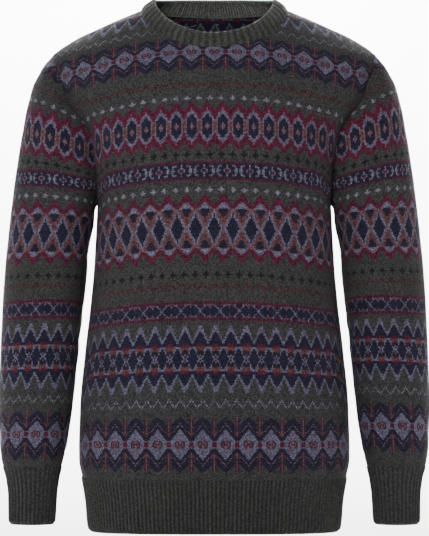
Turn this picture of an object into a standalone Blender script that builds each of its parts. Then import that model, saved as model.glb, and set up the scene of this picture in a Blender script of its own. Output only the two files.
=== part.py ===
"""A fair isle jumper, hollow and filled out as it is worn, held up at its neck and shoulders.

Metres, +Z up, the front faces -Y. The origin is the middle of the neck opening, just below the
top of the shoulder seams. The tables are in millimetres, heights measured from the origin.

The knitted pieces are the front, the back, two sleeves and the neckband. The ribs that start the
front, the back and the sleeves are solids of their own, so that their ridges can stand out, and
each sleeve is a front and a back solid.
Front and back meet in the plane y = 0, along the side seams and the shoulder seams. The torso and
a sleeve meet on a bent sheet parallel to Y, whose edge-on view is the ARMHOLE table.
"""

import math

import bmesh
import bpy
import numpy as np

MM = 0.001
FRONT, BACK = "front", "back"
FACING = {FRONT: -1.0, BACK: 1.0}
SIDES = {"left": 1.0, "right": -1.0}  # the wearer's left is +X

# Cloth
WALL = 2.4 * MM
RIB_WALL = 2.6 * MM
BAND_WALL = 4.0 * MM  # the neckband is knitted double
HALF_GAP = 0.15 * MM  # each piece keeps this much back from a seam
# How square the torso's rings are, by height: 2 is a plain ellipse, less is pointed at the sides
SQUARE = {"height": (-692, -190, -130, -80, -44, 0, 17), "by": (2.4, 2.4, 2.3, 2.1, 1.9, 1.65, 1.6)}

# Torso below the armpit, then its depth alone up to the neck
TORSO = {
    "height": (-692, -686, -655, -620, -590, -545, -460, -380, -310, -250),
    "half_width": (168, 171, 174, 180, 184.5, 183.5, 177, 168, 162.5, 159.5),
}
DEPTH = {
    "height": (
        *(-692, -686, -655, -620, -590, -545, -460, -380, -310),
        *(-250, -190, -130, -100, -80, -60, -40, 0, 17),
    ),
    "front": (107, 110, 112, 115, 118, 118, 115, 114, 118, 122, 122, 118, 113, 107, 97, 84, 67, 62),
    "back": (111, 114, 116, 120, 123, 121, 116, 116, 123, 129, 130, 127, 122, 117, 111, 104, 86, 78),
}
HEM_EDGE, HEM_SEAM = -692 * MM, -620 * MM

# Shoulder seam, from the neck to the shoulder tip, and the armhole down from there
RIDGE = {"across": (100, 160, 205, 220), "height": (16.5, -11, -34, -44)}
ARMHOLE = {
    "height": (-250, -220, -186, -158, -140, -123, -106, -86, -44),
    "across": (159.5, 160, 163, 168.5, 177, 190, 201, 208, 220),
}
ARM_TOP, ARMPIT = -44 * MM, -250 * MM
ARM_MID, ARM_REACH = (ARM_TOP + ARMPIT) / 2, (ARM_TOP - ARMPIT) / 2
ARM_DEPTH = {FRONT: 50 * MM, BACK: 55 * MM}

# Neck seam, and the free edge of the neckband
NECK_HALF, NECK_TOP = 100 * MM, 16.5 * MM
NECK_DROP = {FRONT: 59 * MM, BACK: 5 * MM}
BAND_HALF, BAND_TOP = 82 * MM, 32 * MM
BAND_DROP = {FRONT: 52.5 * MM, BACK: -4 * MM}
BAND_REACH = {FRONT: 71 * MM, BACK: 69 * MM}
BAND_DIP = 1.2  # above 1, the dip of the free edge is narrower than an ellipse
BAND_BULGE = 3.0 * MM

# Sleeve, a row for each section: its highest outer point, its lowest inner point and its depth
SLEEVE = {
    "outer_x": (220, 240, 253, 262, 269.5, 276, 282, 287, 290, 292, 293, 292, 290, 286.5),
    "outer_z": (-44, -72, -106, -150, -195, -243, -297, -352, -408, -466, -512, -556, -588, -605.5),
    "inner_x": (159.5, 163.5, 166, 169, 172, 175, 179.5, 183, 186, 189.5, 194, 199, 204.5, 209),
    "inner_z": (-250, -258, -270, -287, -307, -330, -365, -398, -432, -466, -512, -556, -588, -605.5),
    "front": (50, 60, 63, 63, 62, 60, 59, 58, 56, 54, 51, 48, 43, 37),
    "back": (55, 63, 65, 65, 63, 61, 59, 57, 55, 53, 50, 47, 43, 37),
    "middle_y": (0, 0, 1, 2, 3, 3, 3, 2, 0, -4, -8, -12, -15, -17),
}
SLEEVE_SQUARENESS = 2.2
CUFF_SEAM, CUFF_EDGE = -605.5 * MM, -684 * MM
CUFF = {
    "height": (-684, -678, -653, -626, -605.5),
    "outer_x": (278.5, 280.5, 281, 283.5, 286.5),
    "inner_x": (219.5, 218, 216.5, 214, 209),
    "deep": (26, 28, 28.5, 31.5, 37),
    "middle_y": (-21, -21, -20, -18.5, -17),
}

# Ribs
HEM_RIBS = 85  # on each of front and back
CUFF_RIBS = 36
BAND_RIBS_PER_STEP = 3  # between two points of the neck seam
RIB_HEIGHT = 1.6 * MM

# The largest folds, as soft troughs: where the middle is, which way the trough runs (degrees from
# level), and its length, width and depth. The same trough lies mirrored on the other side.
TORSO_FOLDS = {
    "side": (FRONT, FRONT, FRONT, BACK, BACK, BACK, BACK),
    "across": (132, 140, 118, 128, 138, 110, 30),
    "height": (-225, -335, -560, -222, -370, -470, -565),
    "angle": (48, 24, -12, 46, 20, 10, 3),
    "long": (110, 110, 130, 120, 120, 140, 150),
    "wide": (34, 32, 34, 38, 34, 36, 36),
    "deep": (4.5, 3.0, 3.0, 5.0, 4.0, 4.0, 3.5),
}
# On a sleeve: the section, the turn round it from the outer line (90 is the front, 180 the side
# next to the body), the reach along and round, and the depth.
SLEEVE_FOLDS = {
    "section": (2.0, 3.6, 7.2, 8.3, 9.4, 11.3, 4.5, 8.0),
    "turn": (128, 150, 150, 120, 165, 60, 215, 235),
    "along": (0.5, 0.6, 0.35, 0.4, 0.35, 0.35, 0.7, 0.45),
    "round": (38, 40, 60, 55, 60, 75, 50, 60),
    "deep": (3.5, 4.0, 3.5, 3.0, 3.0, 2.0, 4.0, 3.5),
}

# How finely the solids are cut up
NECK_COLUMNS = 5  # from the middle of a panel to the neck's end of the shoulder seam
SHOULDER_COLUMNS = 5
TORSO_ROWS = 9
ARMHOLE_ROWS = 11
SLEEVE_STEPS = 17
LEVELS = 60  # points used to measure along a ring

COLOURS = {
    "ground": (0.045, 0.050, 0.042, 1.0),
    "ribbing": (0.052, 0.058, 0.049, 1.0),
    "neckband": (0.058, 0.062, 0.050, 1.0),
}


def smooth_read(places, values, at):
    """Values of a table between its rows, on a smooth curve that never overshoots them."""
    places, values = np.asarray(places, float), np.asarray(values, float)
    step = np.diff(places)
    slope = np.diff(values) / step
    tangent = np.concatenate([slope[:1], np.zeros(len(slope) - 1), slope[-1:]])
    same_way = slope[:-1] * slope[1:] > 0
    total = np.where(same_way, slope[:-1] + slope[1:], 1.0)
    tangent[1:-1] = np.where(same_way, 2 * slope[:-1] * slope[1:] / total, 0.0)
    at = np.clip(at, places[0], places[-1])
    row = np.clip(np.searchsorted(places, at, side="right") - 1, 0, len(step) - 1)
    part = (at - places[row]) / step[row]
    left = values[row] + part * step[row] * tangent[row]
    right = values[row + 1] - (1 - part) * step[row] * tangent[row + 1]
    ease = part * part * (3 - 2 * part)
    return (1 - ease) * left + ease * right


def read(table, column, height):
    """A column of a table in millimetres, read at a height in metres."""
    return smooth_read(table["height"], table[column], np.asarray(height) / MM) * MM


def unit(vectors):
    """Vectors scaled to length 1."""
    return vectors / np.maximum(np.linalg.norm(vectors, axis=-1, keepdims=True), 1e-12)


def armhole_edge(height):
    """Distance from the middle of the jumper to the armhole seam, at a height."""
    return read(ARMHOLE, "across", height)


def armhole_normal(height):
    """Direction across the armhole seam, away from the torso, for the +X side."""
    slope = (armhole_edge(height + MM) - armhole_edge(height - MM)) / (2 * MM)
    return unit(np.stack([np.ones_like(slope), 0 * slope, -slope], axis=-1))


def squareness(height):
    """The power that shapes the torso's ring at a height."""
    return smooth_read(SQUARE["height"], SQUARE["by"], np.asarray(height) / MM)


def half_width(side, height):
    """Half the width of the torso's ring; beside the armhole, the ring that its edge would have."""
    height = np.asarray(height, float)
    low = read(TORSO, "half_width", height)
    ridge = smooth_read(RIDGE["height"][::-1], RIDGE["across"][::-1], height / MM) * MM
    around = np.clip((height - ARM_MID) / ARM_REACH, -1, 1)
    edge_depth = ARM_DEPTH[side] * np.sqrt(1 - around**2)
    power = squareness(height)
    share = (edge_depth / read(DEPTH, side, height)) ** power
    beside = armhole_edge(height) / (1 - share) ** (1 / power)
    return np.where(height <= ARMPIT, low, np.where(height >= ARM_TOP, ridge, beside))


def fold_depth(side, x, z):
    """How far the soft troughs of a panel draw it in, at a place seen from the front."""
    drawn = np.zeros(np.broadcast(x, z).shape)
    rows = zip(*TORSO_FOLDS.values())
    for where, across, height, angle, long, wide, deep in rows:
        if where != side:
            continue
        run, rise = math.cos(math.radians(angle)), math.sin(math.radians(angle))
        dx, dz = np.abs(x) / MM - across, z / MM - height
        along, off = dx * run + dz * rise, dz * run - dx * rise
        drawn += deep * np.exp(-((along / long * 2) ** 2) - (off / wide) ** 2)
    return drawn * MM


def torso_y(side, x, z):
    """Place of a panel's outer face in front of or behind the seam plane."""
    power = squareness(z)
    reach = (1 - np.clip(np.abs(x) / half_width(side, z), 0, 1) ** power) ** (1 / power)
    ease = np.clip(reach * 1.6, 0, 1)
    return FACING[side] * (read(DEPTH, side, z) * reach - fold_depth(side, x, z) * ease)


def along_ring(side, height, shares):
    """X of points at the given shares of the way from a panel's middle to its side seam."""
    turn = np.linspace(0, math.pi / 2, LEVELS)
    x = half_width(side, height) * np.sin(turn) ** (2 / squareness(height))
    y = read(DEPTH, side, height) * np.cos(turn) ** (2 / squareness(height))
    run = np.concatenate([[0], np.cumsum(np.hypot(np.diff(x), np.diff(y)))])
    return np.interp(shares, run / run[-1], x)


def half_panel(side):
    """Outer points of half a panel: rows from the rib up, columns from the middle to the side."""
    count = NECK_COLUMNS + SHOULDER_COLUMNS
    shares = np.arange(count + 1) / count
    neck = np.sin(np.minimum(shares * count / NECK_COLUMNS, 1) * math.pi / 2)
    beyond = np.maximum(shares * count - NECK_COLUMNS, 0) / SHOULDER_COLUMNS
    tip = RIDGE["across"][-1] * MM
    top_x = np.where(beyond > 0, NECK_HALF + beyond * (tip - NECK_HALF), NECK_HALF * neck)
    on_ridge = smooth_read(RIDGE["across"], RIDGE["height"], top_x / MM) * MM
    in_neck = NECK_TOP - NECK_DROP[side] * np.sqrt(1 - np.minimum(neck, 1) ** 2)
    top_z = np.where(beyond > 0, on_ridge, in_neck)

    rows = []
    for height in np.linspace(HEM_SEAM + HALF_GAP, ARMPIT, TORSO_ROWS + 1)[:-1]:
        rows.append((along_ring(side, height, shares), np.full(count + 1, height)))
    base_x = along_ring(side, ARMPIT, shares)
    for turn in np.linspace(math.pi, 0, ARMHOLE_ROWS + 1):
        rise = (1 + math.cos(turn)) / 2
        bow = armhole_edge(ARMPIT + rise * (ARM_TOP - ARMPIT))
        bow -= base_x[-1] + rise * (top_x[-1] - base_x[-1])
        x = base_x + rise * (top_x - base_x) + shares**2 * bow
        rows.append((x, ARMPIT + rise * (top_z - ARMPIT)))
    x = np.array([row[0] for row in rows])
    z = np.array([row[1] for row in rows])
    return np.stack([x, torso_y(side, x, z), z], axis=-1)


def whole_panel(side):
    """Outer points of a panel, columns running from -X to +X."""
    half = half_panel(side)
    mirrored = half[:, :0:-1] * np.array([-1.0, 1.0, 1.0])
    return np.concatenate([mirrored, half], axis=1)


def grid_normals(points, closed=False):
    """Directions square to a sheet of points, at each of them."""
    if closed:
        wide = np.concatenate([points[:, -1:], points, points[:, :1]], axis=1)
        across = wide[:, 2:] - wide[:, :-2]
    else:
        across = np.gradient(points, axis=1)
    up = np.gradient(points, axis=0)
    return unit(np.cross(across, up))


def armhole_inward(side, turn):
    """Direction along the armhole's sheet to the inside of the armhole, for the +X side."""
    across = -FACING[side] * np.sin(turn) / ARM_DEPTH[side]
    up = -np.cos(turn) / ARM_REACH
    height = ARM_MID + ARM_REACH * np.cos(turn)
    slope = (armhole_edge(height + MM) - armhole_edge(height - MM)) / (2 * MM)
    return unit(np.stack([slope * up, across, up], axis=-1))


def band_edge(side, share):
    """Free edge of the neckband, by the share of the half neck from -X to +X (-1 to 1)."""
    turn = share * math.pi / 2
    dip = np.cos(turn)
    height = BAND_TOP - BAND_DROP[side] * dip**BAND_DIP
    return np.stack([BAND_HALF * np.sin(turn), FACING[side] * BAND_REACH[side] * dip, height], axis=-1)


def ring_gradient(points):
    """Step from the point before to the point after, round a closed ring."""
    return np.roll(points, -1, axis=0) - np.roll(points, 1, axis=0)


def neck_seam(front, back):
    """The neck seam seen from above, from the +X end round the back: its points, the direction
    into the jumper along the seam's faces, and the direction from the panels to the band."""
    middle = front.shape[1] // 2
    first, last = middle - NECK_COLUMNS, middle + NECK_COLUMNS
    share = np.linspace(-1, 1, 2 * NECK_COLUMNS + 1)
    behind = back[-1, first : last + 1][::-1]
    ahead = front[-1, first : last + 1]
    points = np.concatenate([behind[:-1], ahead[:-1]])
    points[[0, len(behind) - 1], 1] = 0
    normal = np.concatenate(
        [grid_normals(back)[-1, first : last + 1][::-1][:-1] * -1, grid_normals(front)[-1, first:last]]
    )
    free = np.concatenate([band_edge(BACK, share)[::-1][:-1], band_edge(FRONT, share)[:-1]])
    tangent = unit(ring_gradient(points))
    rising = unit(free - points)
    band_normal = unit(np.cross(tangent, rising))
    inward = -unit(normal + band_normal)
    inward -= np.sum(inward * tangent, axis=-1, keepdims=True) * tangent
    inward[[0, len(behind) - 1], 1] = 0
    inward = unit(inward)
    across = unit(np.cross(inward, tangent))
    across *= np.sign(np.sum(across * rising, axis=-1, keepdims=True))
    return points, inward, across, free, band_normal


def new_solid(name, points, faces, colour):
    """One closed body in its own object, with its own material."""
    mesh = bpy.data.meshes.new(name)
    mesh.from_pydata([tuple(point) for point in points], [], faces)
    build = bmesh.new()
    build.from_mesh(mesh)
    bmesh.ops.recalc_face_normals(build, faces=build.faces)
    build.to_mesh(mesh)
    build.free()
    mesh.shade_smooth()
    mesh.set_sharp_from_angle(angle=math.radians(50))
    material = bpy.data.materials.new(name)
    material.use_nodes = True
    shader = material.node_tree.nodes["Principled BSDF"]
    shader.inputs["Base Color"].default_value = COLOURS[colour]
    shader.inputs["Roughness"].default_value = 0.95
    shader.inputs["Metallic"].default_value = 0.0
    mesh.materials.append(material)
    solid = bpy.data.objects.new(name, mesh)
    bpy.context.scene.collection.objects.link(solid)
    return solid


def strip(one, other, closed):
    """Faces between two rows of point numbers. The longer row has a whole number of points for
    each point of the shorter one, and they fan out from it."""
    if len(one) < len(other):
        return [face[::-1] for face in strip(other, one, closed)]
    spans_one = len(one) - (0 if closed else 1)
    spans_other = len(other) - (0 if closed else 1)
    per = spans_one // spans_other
    faces = []
    for span in range(spans_other):
        here, there = other[span], other[(span + 1) % len(other)]
        fan = [one[(span * per + step) % len(one)] for step in range(per + 1)]
        half = per // 2
        for step in range(per):
            if step == half:
                faces.append((fan[step], fan[step + 1], there, here))
            else:
                faces.append((fan[step], fan[step + 1], here if step < half else there))
    return faces


def skin(name, rows, closed_rows, colour):
    """A solid from rows of points that run all round its cross-section, the last joined to the
    first. Open rows get an end face at each end."""
    numbers, start = [], 0
    for row in rows:
        numbers.append(list(range(start, start + len(row))))
        start += len(row)
    faces = []
    for index, row in enumerate(numbers):
        faces += strip(row, numbers[(index + 1) % len(numbers)], closed_rows)
    if not closed_rows:
        faces.append(tuple(row[0] for row in numbers))
        faces.append(tuple(row[-1] for row in reversed(numbers)))
    return new_solid(name, np.concatenate(rows), faces, colour)


def wall(name, outer, inner, colour):
    """A solid wall between two sheets of points of one size."""
    rows, columns = outer.shape[:2]
    numbers = np.arange(rows * columns).reshape(rows, columns)
    faces = []
    for sheet in (numbers, numbers[:, ::-1] + rows * columns):
        for r in range(rows - 1):
            for c in range(columns - 1):
                faces.append((sheet[r, c], sheet[r, c + 1], sheet[r + 1, c + 1], sheet[r + 1, c]))
    rim = [*numbers[0], *numbers[1:, -1], *numbers[-1, -2::-1], *numbers[-2:0:-1, 0]]
    for here, after in zip(rim, rim[1:] + rim[:1]):
        faces.append((after, here, here + rows * columns, after + rows * columns))
    faces = [tuple(int(number) for number in face) for face in faces]
    points = np.concatenate([outer.reshape(-1, 3), inner.reshape(-1, 3)])
    return new_solid(name, points, faces, colour)


def make_panel(side, outer, seam):
    """Front or back: the sheet of outer points, and an inner one drawn in square to it. Along
    each seam both keep to that seam's own face, half a gap back from it."""
    facing = FACING[side]
    normal = grid_normals(outer) * (1 if side == FRONT else -1)
    inward = -normal
    shift = np.zeros_like(outer)
    low = TORSO_ROWS
    inward[0, :, 2] = 0
    for column, way in ((0, -1.0), (-1, 1.0)):
        outer[:low, column, 1] = 0
        inward[: low + 1, column] = (-way, 0, 0)
        shift[: low + 1, column, 1] = facing * HALF_GAP
        turn = np.linspace(math.pi, 0, ARMHOLE_ROWS + 1)
        mirror = np.array([way, 1.0, 1.0])
        inward[low:, column] = armhole_inward(side, turn) * mirror
        height = ARM_MID + ARM_REACH * np.cos(turn)
        shift[low:, column] -= armhole_normal(height) * mirror * HALF_GAP
        outer[-1, column, 1] = 0
    ridge = np.r_[0 : SHOULDER_COLUMNS + 1, outer.shape[1] - SHOULDER_COLUMNS - 1 : outer.shape[1]]
    outer[-1, ridge, 1] = 0
    inward[-1, ridge, 1] = 0
    shift[-1, ridge, 1] = facing * HALF_GAP
    points, rim, across = seam[:3]
    near = {tuple(np.round(point, 6)): number for number, point in enumerate(points)}
    for column in range(SHOULDER_COLUMNS, outer.shape[1] - SHOULDER_COLUMNS):
        number = near[tuple(np.round(outer[-1, column], 6))]
        inward[-1, column] = rim[number]
        shift[-1, column] -= across[number] * HALF_GAP
    inner = outer + unit(inward) * WALL
    return wall(side + "_panel", outer + shift, inner + shift, "ground")


def sleeve_ring(section, turn):
    """Outer points of a sleeve's section, +X side, at turns from its outer line by the front."""
    at = {key: smooth_read(range(14), values, section) * MM for key, values in SLEEVE.items()}
    square = 2 + (SLEEVE_SQUARENESS - 2) * min(section, 1)
    cos = np.sign(np.cos(turn)) * np.abs(np.cos(turn)) ** (2 / square)
    sin = np.sign(np.sin(turn)) * np.abs(np.sin(turn)) ** (2 / square)
    x = (at["outer_x"] + at["inner_x"]) / 2 + (at["outer_x"] - at["inner_x"]) / 2 * cos
    z = (at["outer_z"] + at["inner_z"]) / 2 + (at["outer_z"] - at["inner_z"]) / 2 * cos
    y = at["middle_y"] - np.where(sin > 0, at["front"], at["back"]) * sin
    bow = np.zeros_like(x)
    if section < 2:
        height = ARM_MID + ARM_REACH * cos
        level = (height - ARMPIT) / (ARM_TOP - ARMPIT)
        ends = armhole_edge(np.array([ARMPIT, ARM_TOP]))
        bow = (armhole_edge(height) - ends[0] - level * (ends[1] - ends[0])) * (1 - section / 2) ** 2
    points = np.stack([x + bow, y, z], axis=-1)
    middle = np.array([np.mean(x), at["middle_y"], np.mean(z)])
    drawn = np.zeros_like(x)
    for place, round_at, along, reach, deep in zip(*SLEEVE_FOLDS.values()):
        off = (np.degrees(turn) - round_at + 180) % 360 - 180
        drawn += deep * MM * np.exp(-(((section - place) / along) ** 2) - (off / reach) ** 2)
    drawn *= min(section, 1) * min(13 - section, 1)
    return points + unit(middle - points) * drawn[:, None]


def make_sleeve(name, way):
    """A sleeve from the armhole to the cuff, in a front and a back half. They meet along the
    underarm seam and along the sleeve's outer line."""
    half = np.linspace(0, math.pi, ARMHOLE_ROWS + 1)
    turn = np.concatenate([half[:-1], half[:-1] + math.pi])
    sections = 13 * np.linspace(0, 1, SLEEVE_STEPS + 1)
    outer = np.array([sleeve_ring(section, turn) for section in sections])
    normal = grid_normals(outer, closed=True)
    outward = outer - outer.mean(axis=1, keepdims=True)
    normal *= np.sign(np.sum(normal * outward))
    inward = -normal
    height = ARM_MID + ARM_REACH * np.cos(turn)
    side_turn = np.where(turn <= math.pi, turn, 2 * math.pi - turn)
    by_side = [armhole_inward(side, side_turn) for side in (FRONT, BACK)]
    inward[0] = np.where((turn <= math.pi)[:, None], *by_side)
    inward[-1, :, 2] = 0
    inward[:, [0, ARMHOLE_ROWS], 1] = 0
    inner = outer + unit(inward) * WALL
    mirror = np.array([way, 1.0, 1.0])
    halves = {FRONT: np.arange(ARMHOLE_ROWS + 1), BACK: np.r_[ARMHOLE_ROWS : 2 * ARMHOLE_ROWS, 0]}
    for side, columns in halves.items():
        shift = np.zeros_like(outer[:, columns])
        shift[0] = armhole_normal(height[columns]) * HALF_GAP
        shift[-1, :, 2] = HALF_GAP
        shift[:, [0, -1], 1] = FACING[side] * HALF_GAP
        sheets = [(sheet[:, columns] + shift) * mirror for sheet in (outer, inner)]
        wall(name + "_" + side, *sheets, "ground")


def ribbed(points, outward, per_rib):
    """A row of points with every rib's middle raised, per_rib points to a rib."""
    lift = np.where(np.arange(len(points)) % per_rib == per_rib // 2, RIB_HEIGHT, 0.0)
    return points + outward * lift[:, None]


def make_hem(side):
    """The rib along the lower edge of a panel, ridges raised over a plain inside."""
    facing = FACING[side]
    fine, coarse = 2 * HEM_RIBS, HEM_RIBS * 2 // 5
    levels = (HEM_SEAM - HALF_GAP, (HEM_SEAM + HEM_EDGE) / 2, HEM_EDGE + 7 * MM, HEM_EDGE)
    lifts = (0.4, 1.0, 1.0, 0.4)

    def row(height, count, inset, lift):
        shares = np.abs(np.linspace(-1, 1, count + 1))
        x = along_ring(side, height, shares) * np.sign(np.linspace(-1, 1, count + 1))
        points = np.stack([x, torso_y(side, x, np.full_like(x, height)), np.full_like(x, height)], axis=-1)
        points[[0, -1], 1] = 0
        tangent = np.gradient(points, axis=0)
        outward = unit(np.stack([facing * -tangent[:, 1], facing * tangent[:, 0], 0 * x], axis=-1))
        outward[0], outward[-1] = (-1, 0, 0), (1, 0, 0)
        points = points - outward * inset
        if lift:
            points = points + (ribbed(points, outward, 2) - points) * lift
        points[[0, -1], 1] = facing * HALF_GAP
        return points

    rows = [row(height, fine, 0, lift) for height, lift in zip(levels, lifts)]
    rows += [row(height, coarse, RIB_WALL, 0) for height in levels[::-1] if height != levels[2]]
    return skin("hem_rib_" + side, rows, False, "ribbing")


def make_cuff(name, way):
    """The rib at the end of a sleeve."""
    levels = (CUFF_SEAM - HALF_GAP, -626 * MM, -655 * MM, CUFF_EDGE + 6 * MM, CUFF_EDGE)
    lifts = (0.4, 1.0, 1.0, 1.0, 0.4)

    def row(height, count, inset, lift):
        at = {key: read(CUFF, key, height) for key in CUFF if key != "height"}
        turn = np.linspace(0, 2 * math.pi, count, endpoint=False)
        middle, half = (at["outer_x"] + at["inner_x"]) / 2, (at["outer_x"] - at["inner_x"]) / 2
        x, y = middle + half * np.cos(turn), at["middle_y"] - at["deep"] * np.sin(turn)
        points = np.stack([x, y, np.full(count, height)], axis=-1)
        outward = unit(np.stack([np.cos(turn) / half, -np.sin(turn) / at["deep"], 0 * turn], axis=-1))
        points = points - outward * inset
        if lift:
            points = points + (ribbed(points, outward, 2) - points) * lift
        return points * np.array([way, 1.0, 1.0])

    rows = [row(height, 2 * CUFF_RIBS, 0, lift) for height, lift in zip(levels, lifts)]
    rows += [row(height, CUFF_RIBS, RIB_WALL, 0) for height in levels[::-1]]
    return skin(name, rows, True, "ribbing")


def spread(ring, per):
    """A closed ring with per points for each of its own, evenly along its straight spans."""
    after = np.roll(ring, -1, axis=0)
    part = (np.arange(per) / per)[None, :, None]
    return (ring[:, None] + part * (after - ring)[:, None]).reshape(-1, ring.shape[-1])


def make_neckband(seam):
    """The double rib round the neck: from the seam up and in to a rounded free edge."""
    points, inward, across, free, outward = seam
    per = 2 * BAND_RIBS_PER_STEP
    levels = (0.0, 0.3, 0.65, 0.92)
    bulges = (0.0, 1.0, 0.8, 0.25)
    rows = []
    for level, bulge in zip(levels, bulges):
        line = points + across * HALF_GAP + (free - points) * level + outward * BAND_BULGE * bulge
        out = spread(outward, per)
        rows.append(ribbed(spread(line, per), out, 2) if level else spread(line, per))
    crown = points + (free - points) * 1.03 - outward * BAND_WALL / 2
    rows.append(spread(crown, BAND_RIBS_PER_STEP))
    for level, bulge in zip(levels[:0:-1], bulges[:0:-1]):
        line = points + (free - points) * level + outward * (BAND_BULGE * bulge - BAND_WALL)
        rows.append(spread(line, BAND_RIBS_PER_STEP))
    rows.append(spread(points + across * HALF_GAP + inward * WALL, BAND_RIBS_PER_STEP))
    return skin("neckband", rows, True, "neckband")


def main():
    for old in list(bpy.data.objects):
        bpy.data.objects.remove(old, do_unlink=True)
    front, back = whole_panel(FRONT), whole_panel(BACK)
    seam = neck_seam(front, back)
    make_panel(FRONT, front, seam)
    make_panel(BACK, back, seam)
    for name, way in SIDES.items():
        make_sleeve("sleeve_" + name, way)
        make_cuff("cuff_" + name, way)
    make_hem(FRONT)
    make_hem(BACK)
    make_neckband(seam)


main()
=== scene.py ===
# %% [markdown]
# # A fair isle jumper, filled out as it is worn
#
# The jumper is knitted wool: a front and a back, two sleeves, and ribs at the neck, hem and cuffs.
# Nobody is inside, so it is hollow. Each piece is built as a thin sheet of cloth with two faces,
# from a grid of points that a few tables describe. The tables are in millimetres, and heights are
# measured from the middle of the neck opening. The front faces -Y, and +X is the wearer's left.

import math

import bmesh
import bpy
import numpy as np
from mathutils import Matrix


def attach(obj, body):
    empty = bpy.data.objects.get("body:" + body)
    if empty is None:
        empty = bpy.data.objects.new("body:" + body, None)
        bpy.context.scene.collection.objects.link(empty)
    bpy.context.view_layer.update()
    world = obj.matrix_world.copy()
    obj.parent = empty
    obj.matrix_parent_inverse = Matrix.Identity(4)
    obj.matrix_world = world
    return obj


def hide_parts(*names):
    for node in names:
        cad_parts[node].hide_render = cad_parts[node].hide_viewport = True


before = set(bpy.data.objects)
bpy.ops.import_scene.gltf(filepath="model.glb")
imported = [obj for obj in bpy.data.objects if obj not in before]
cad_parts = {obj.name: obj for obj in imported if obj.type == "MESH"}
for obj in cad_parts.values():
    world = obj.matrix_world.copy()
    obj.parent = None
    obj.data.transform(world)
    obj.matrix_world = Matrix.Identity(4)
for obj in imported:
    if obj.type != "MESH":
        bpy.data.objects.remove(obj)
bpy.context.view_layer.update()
bpy.ops.object.select_all(action="DESELECT")
print("solids:", sorted(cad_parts))

# %% [markdown]
# ## Reading smooth curves from short tables
#
# A tailor's block is a handful of measurements joined by fair curves. The reader below does the
# same: it runs a smooth curve through the rows of a table and never overshoots them, so the widest
# row of the hips stays the widest place. A spline would be shorter to write, but it swings past
# its points and would put bumps in a smooth side seam.

# %% The curve reader
MM = 0.001
TINY, TINIEST = 1e-6, 1e-12
FRONT, BACK = "front", "back"
FACING = {FRONT: -1.0, BACK: 1.0}


def ease_in(part):
    """A soft step from 0 to 1."""
    part = np.clip(part, 0, 1)
    return part * part * (3 - 2 * part)


def smooth_read(places, values, at):
    """Values of a table between its rows, on a smooth curve that never overshoots them."""
    places, values = np.asarray(places, float), np.asarray(values, float)
    step = np.diff(places)
    slope = np.diff(values) / step
    before, after = slope[:-1], slope[1:]
    same_way = before * after > 0
    total = np.where(same_way, before + after, 1.0)
    tangent = np.r_[slope[0], np.where(same_way, 2 * before * after / total, 0.0), slope[-1]]
    at = np.clip(at, places[0], places[-1])
    row = np.clip(np.searchsorted(places, at, side="right") - 1, 0, len(step) - 1)
    part = (at - places[row]) / step[row]
    left = values[row] + part * step[row] * tangent[row]
    right = values[row + 1] - (1 - part) * step[row] * tangent[row + 1]
    return (1 - ease_in(part)) * left + ease_in(part) * right


def read(table, column, height):
    """A column of a table in millimetres, read at a height in metres."""
    return smooth_read(table["height"], table[column], np.asarray(height) / MM) * MM


def unit(vectors):
    """Vectors scaled to length 1."""
    return vectors / np.maximum(np.linalg.norm(vectors, axis=-1, keepdims=True), TINIEST)


def running_length(points, axis=0):
    """Distance along lines of points, counted from the first point of each."""
    steps = np.linalg.norm(np.diff(points, axis=axis), axis=-1)
    return np.concatenate([0 * steps.take([0], axis), np.cumsum(steps, axis)], axis)


def flip(way):
    """Turns a shape made for the +X side into the one for the side that way gives."""
    return np.array([way, 1.0, 1.0])


print("halfway along a straight row:", float(smooth_read((0, 2), (0, 1), 1)))


# %% [markdown]
# ## The torso's measurements
#
# A body is measured at a few heights: half its width, and how far the front and the back stand from
# the seams between them. The shape could be sculpted by eye, but a table can be checked with a tape
# and changed a row at a time. At a seam the sheets overlap by a hair, so that no light comes
# through.

# %% The torso's tables
WALL = 2.4 * MM
HALF_GAP = -0.1 * MM
SQUARE = {
    "height": (-692, -190, -130, -80, -44, 0, 17),
    "by": (2.4, 2.4, 2.3, 2.1, 1.9, 1.65, 1.6),
}
TORSO = {
    "height": (-692, -686, -655, -620, -590, -545, -460, -380, -310, -250),
    "half_width": (168, 171, 174, 180, 184.5, 183.5, 177, 168, 162.5, 159.5),
}
DEPTH = {
    "height": (*TORSO["height"], -190, -130, -100, -80, -60, -40, 0, 17),
    FRONT: (107, 110, 112, 115, 118, 118, 115, 114, 118, 122, 122, 118, 113, 107, 97, 84, 67, 62),
    BACK: (111, 114, 116, 120, 123, 121, 116, 116, 123, 129, 130, 127, 122, 117, 111, 104, 86, 78),
}
HEM_EDGE, HEM_SEAM = -692 * MM, -620 * MM
RIDGE = {"across": (100, 160, 205, 220), "height": (16.5, -9.5, -33, -44)}
ARMHOLE = {
    "height": (-250, -220, -186, -158, -140, -123, -106, -86, -44),
    "across": (159.5, 160, 163, 168.5, 177, 190, 201, 208, 220),
}
ARM_TOP, ARMPIT = -44 * MM, -250 * MM
ARM_MID, ARM_REACH = (ARM_TOP + ARMPIT) / 2, (ARM_TOP - ARMPIT) / 2
ARM_DEPTH = {FRONT: 50 * MM, BACK: 55 * MM}
NECK_HALF, NECK_TOP = 100 * MM, 16.5 * MM
NECK_DROP = {FRONT: 59 * MM, BACK: 0.5 * MM}
print("from hem to shoulder:", round((NECK_TOP - HEM_EDGE) / MM), "mm")

# %% [markdown]
# ## The shape of the torso
#
# A worn torso is a stack of rings that are a little squarer than an ellipse. Each ring has a width
# and a depth read from the tables. Above the armpits the sides open into the armholes, and the
# rings are those that the armhole's edge would need. Lofting a few drawn curves would give a
# similar body, but a formula also tells how deep it is anywhere, which the neckband and ribs need.

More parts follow.
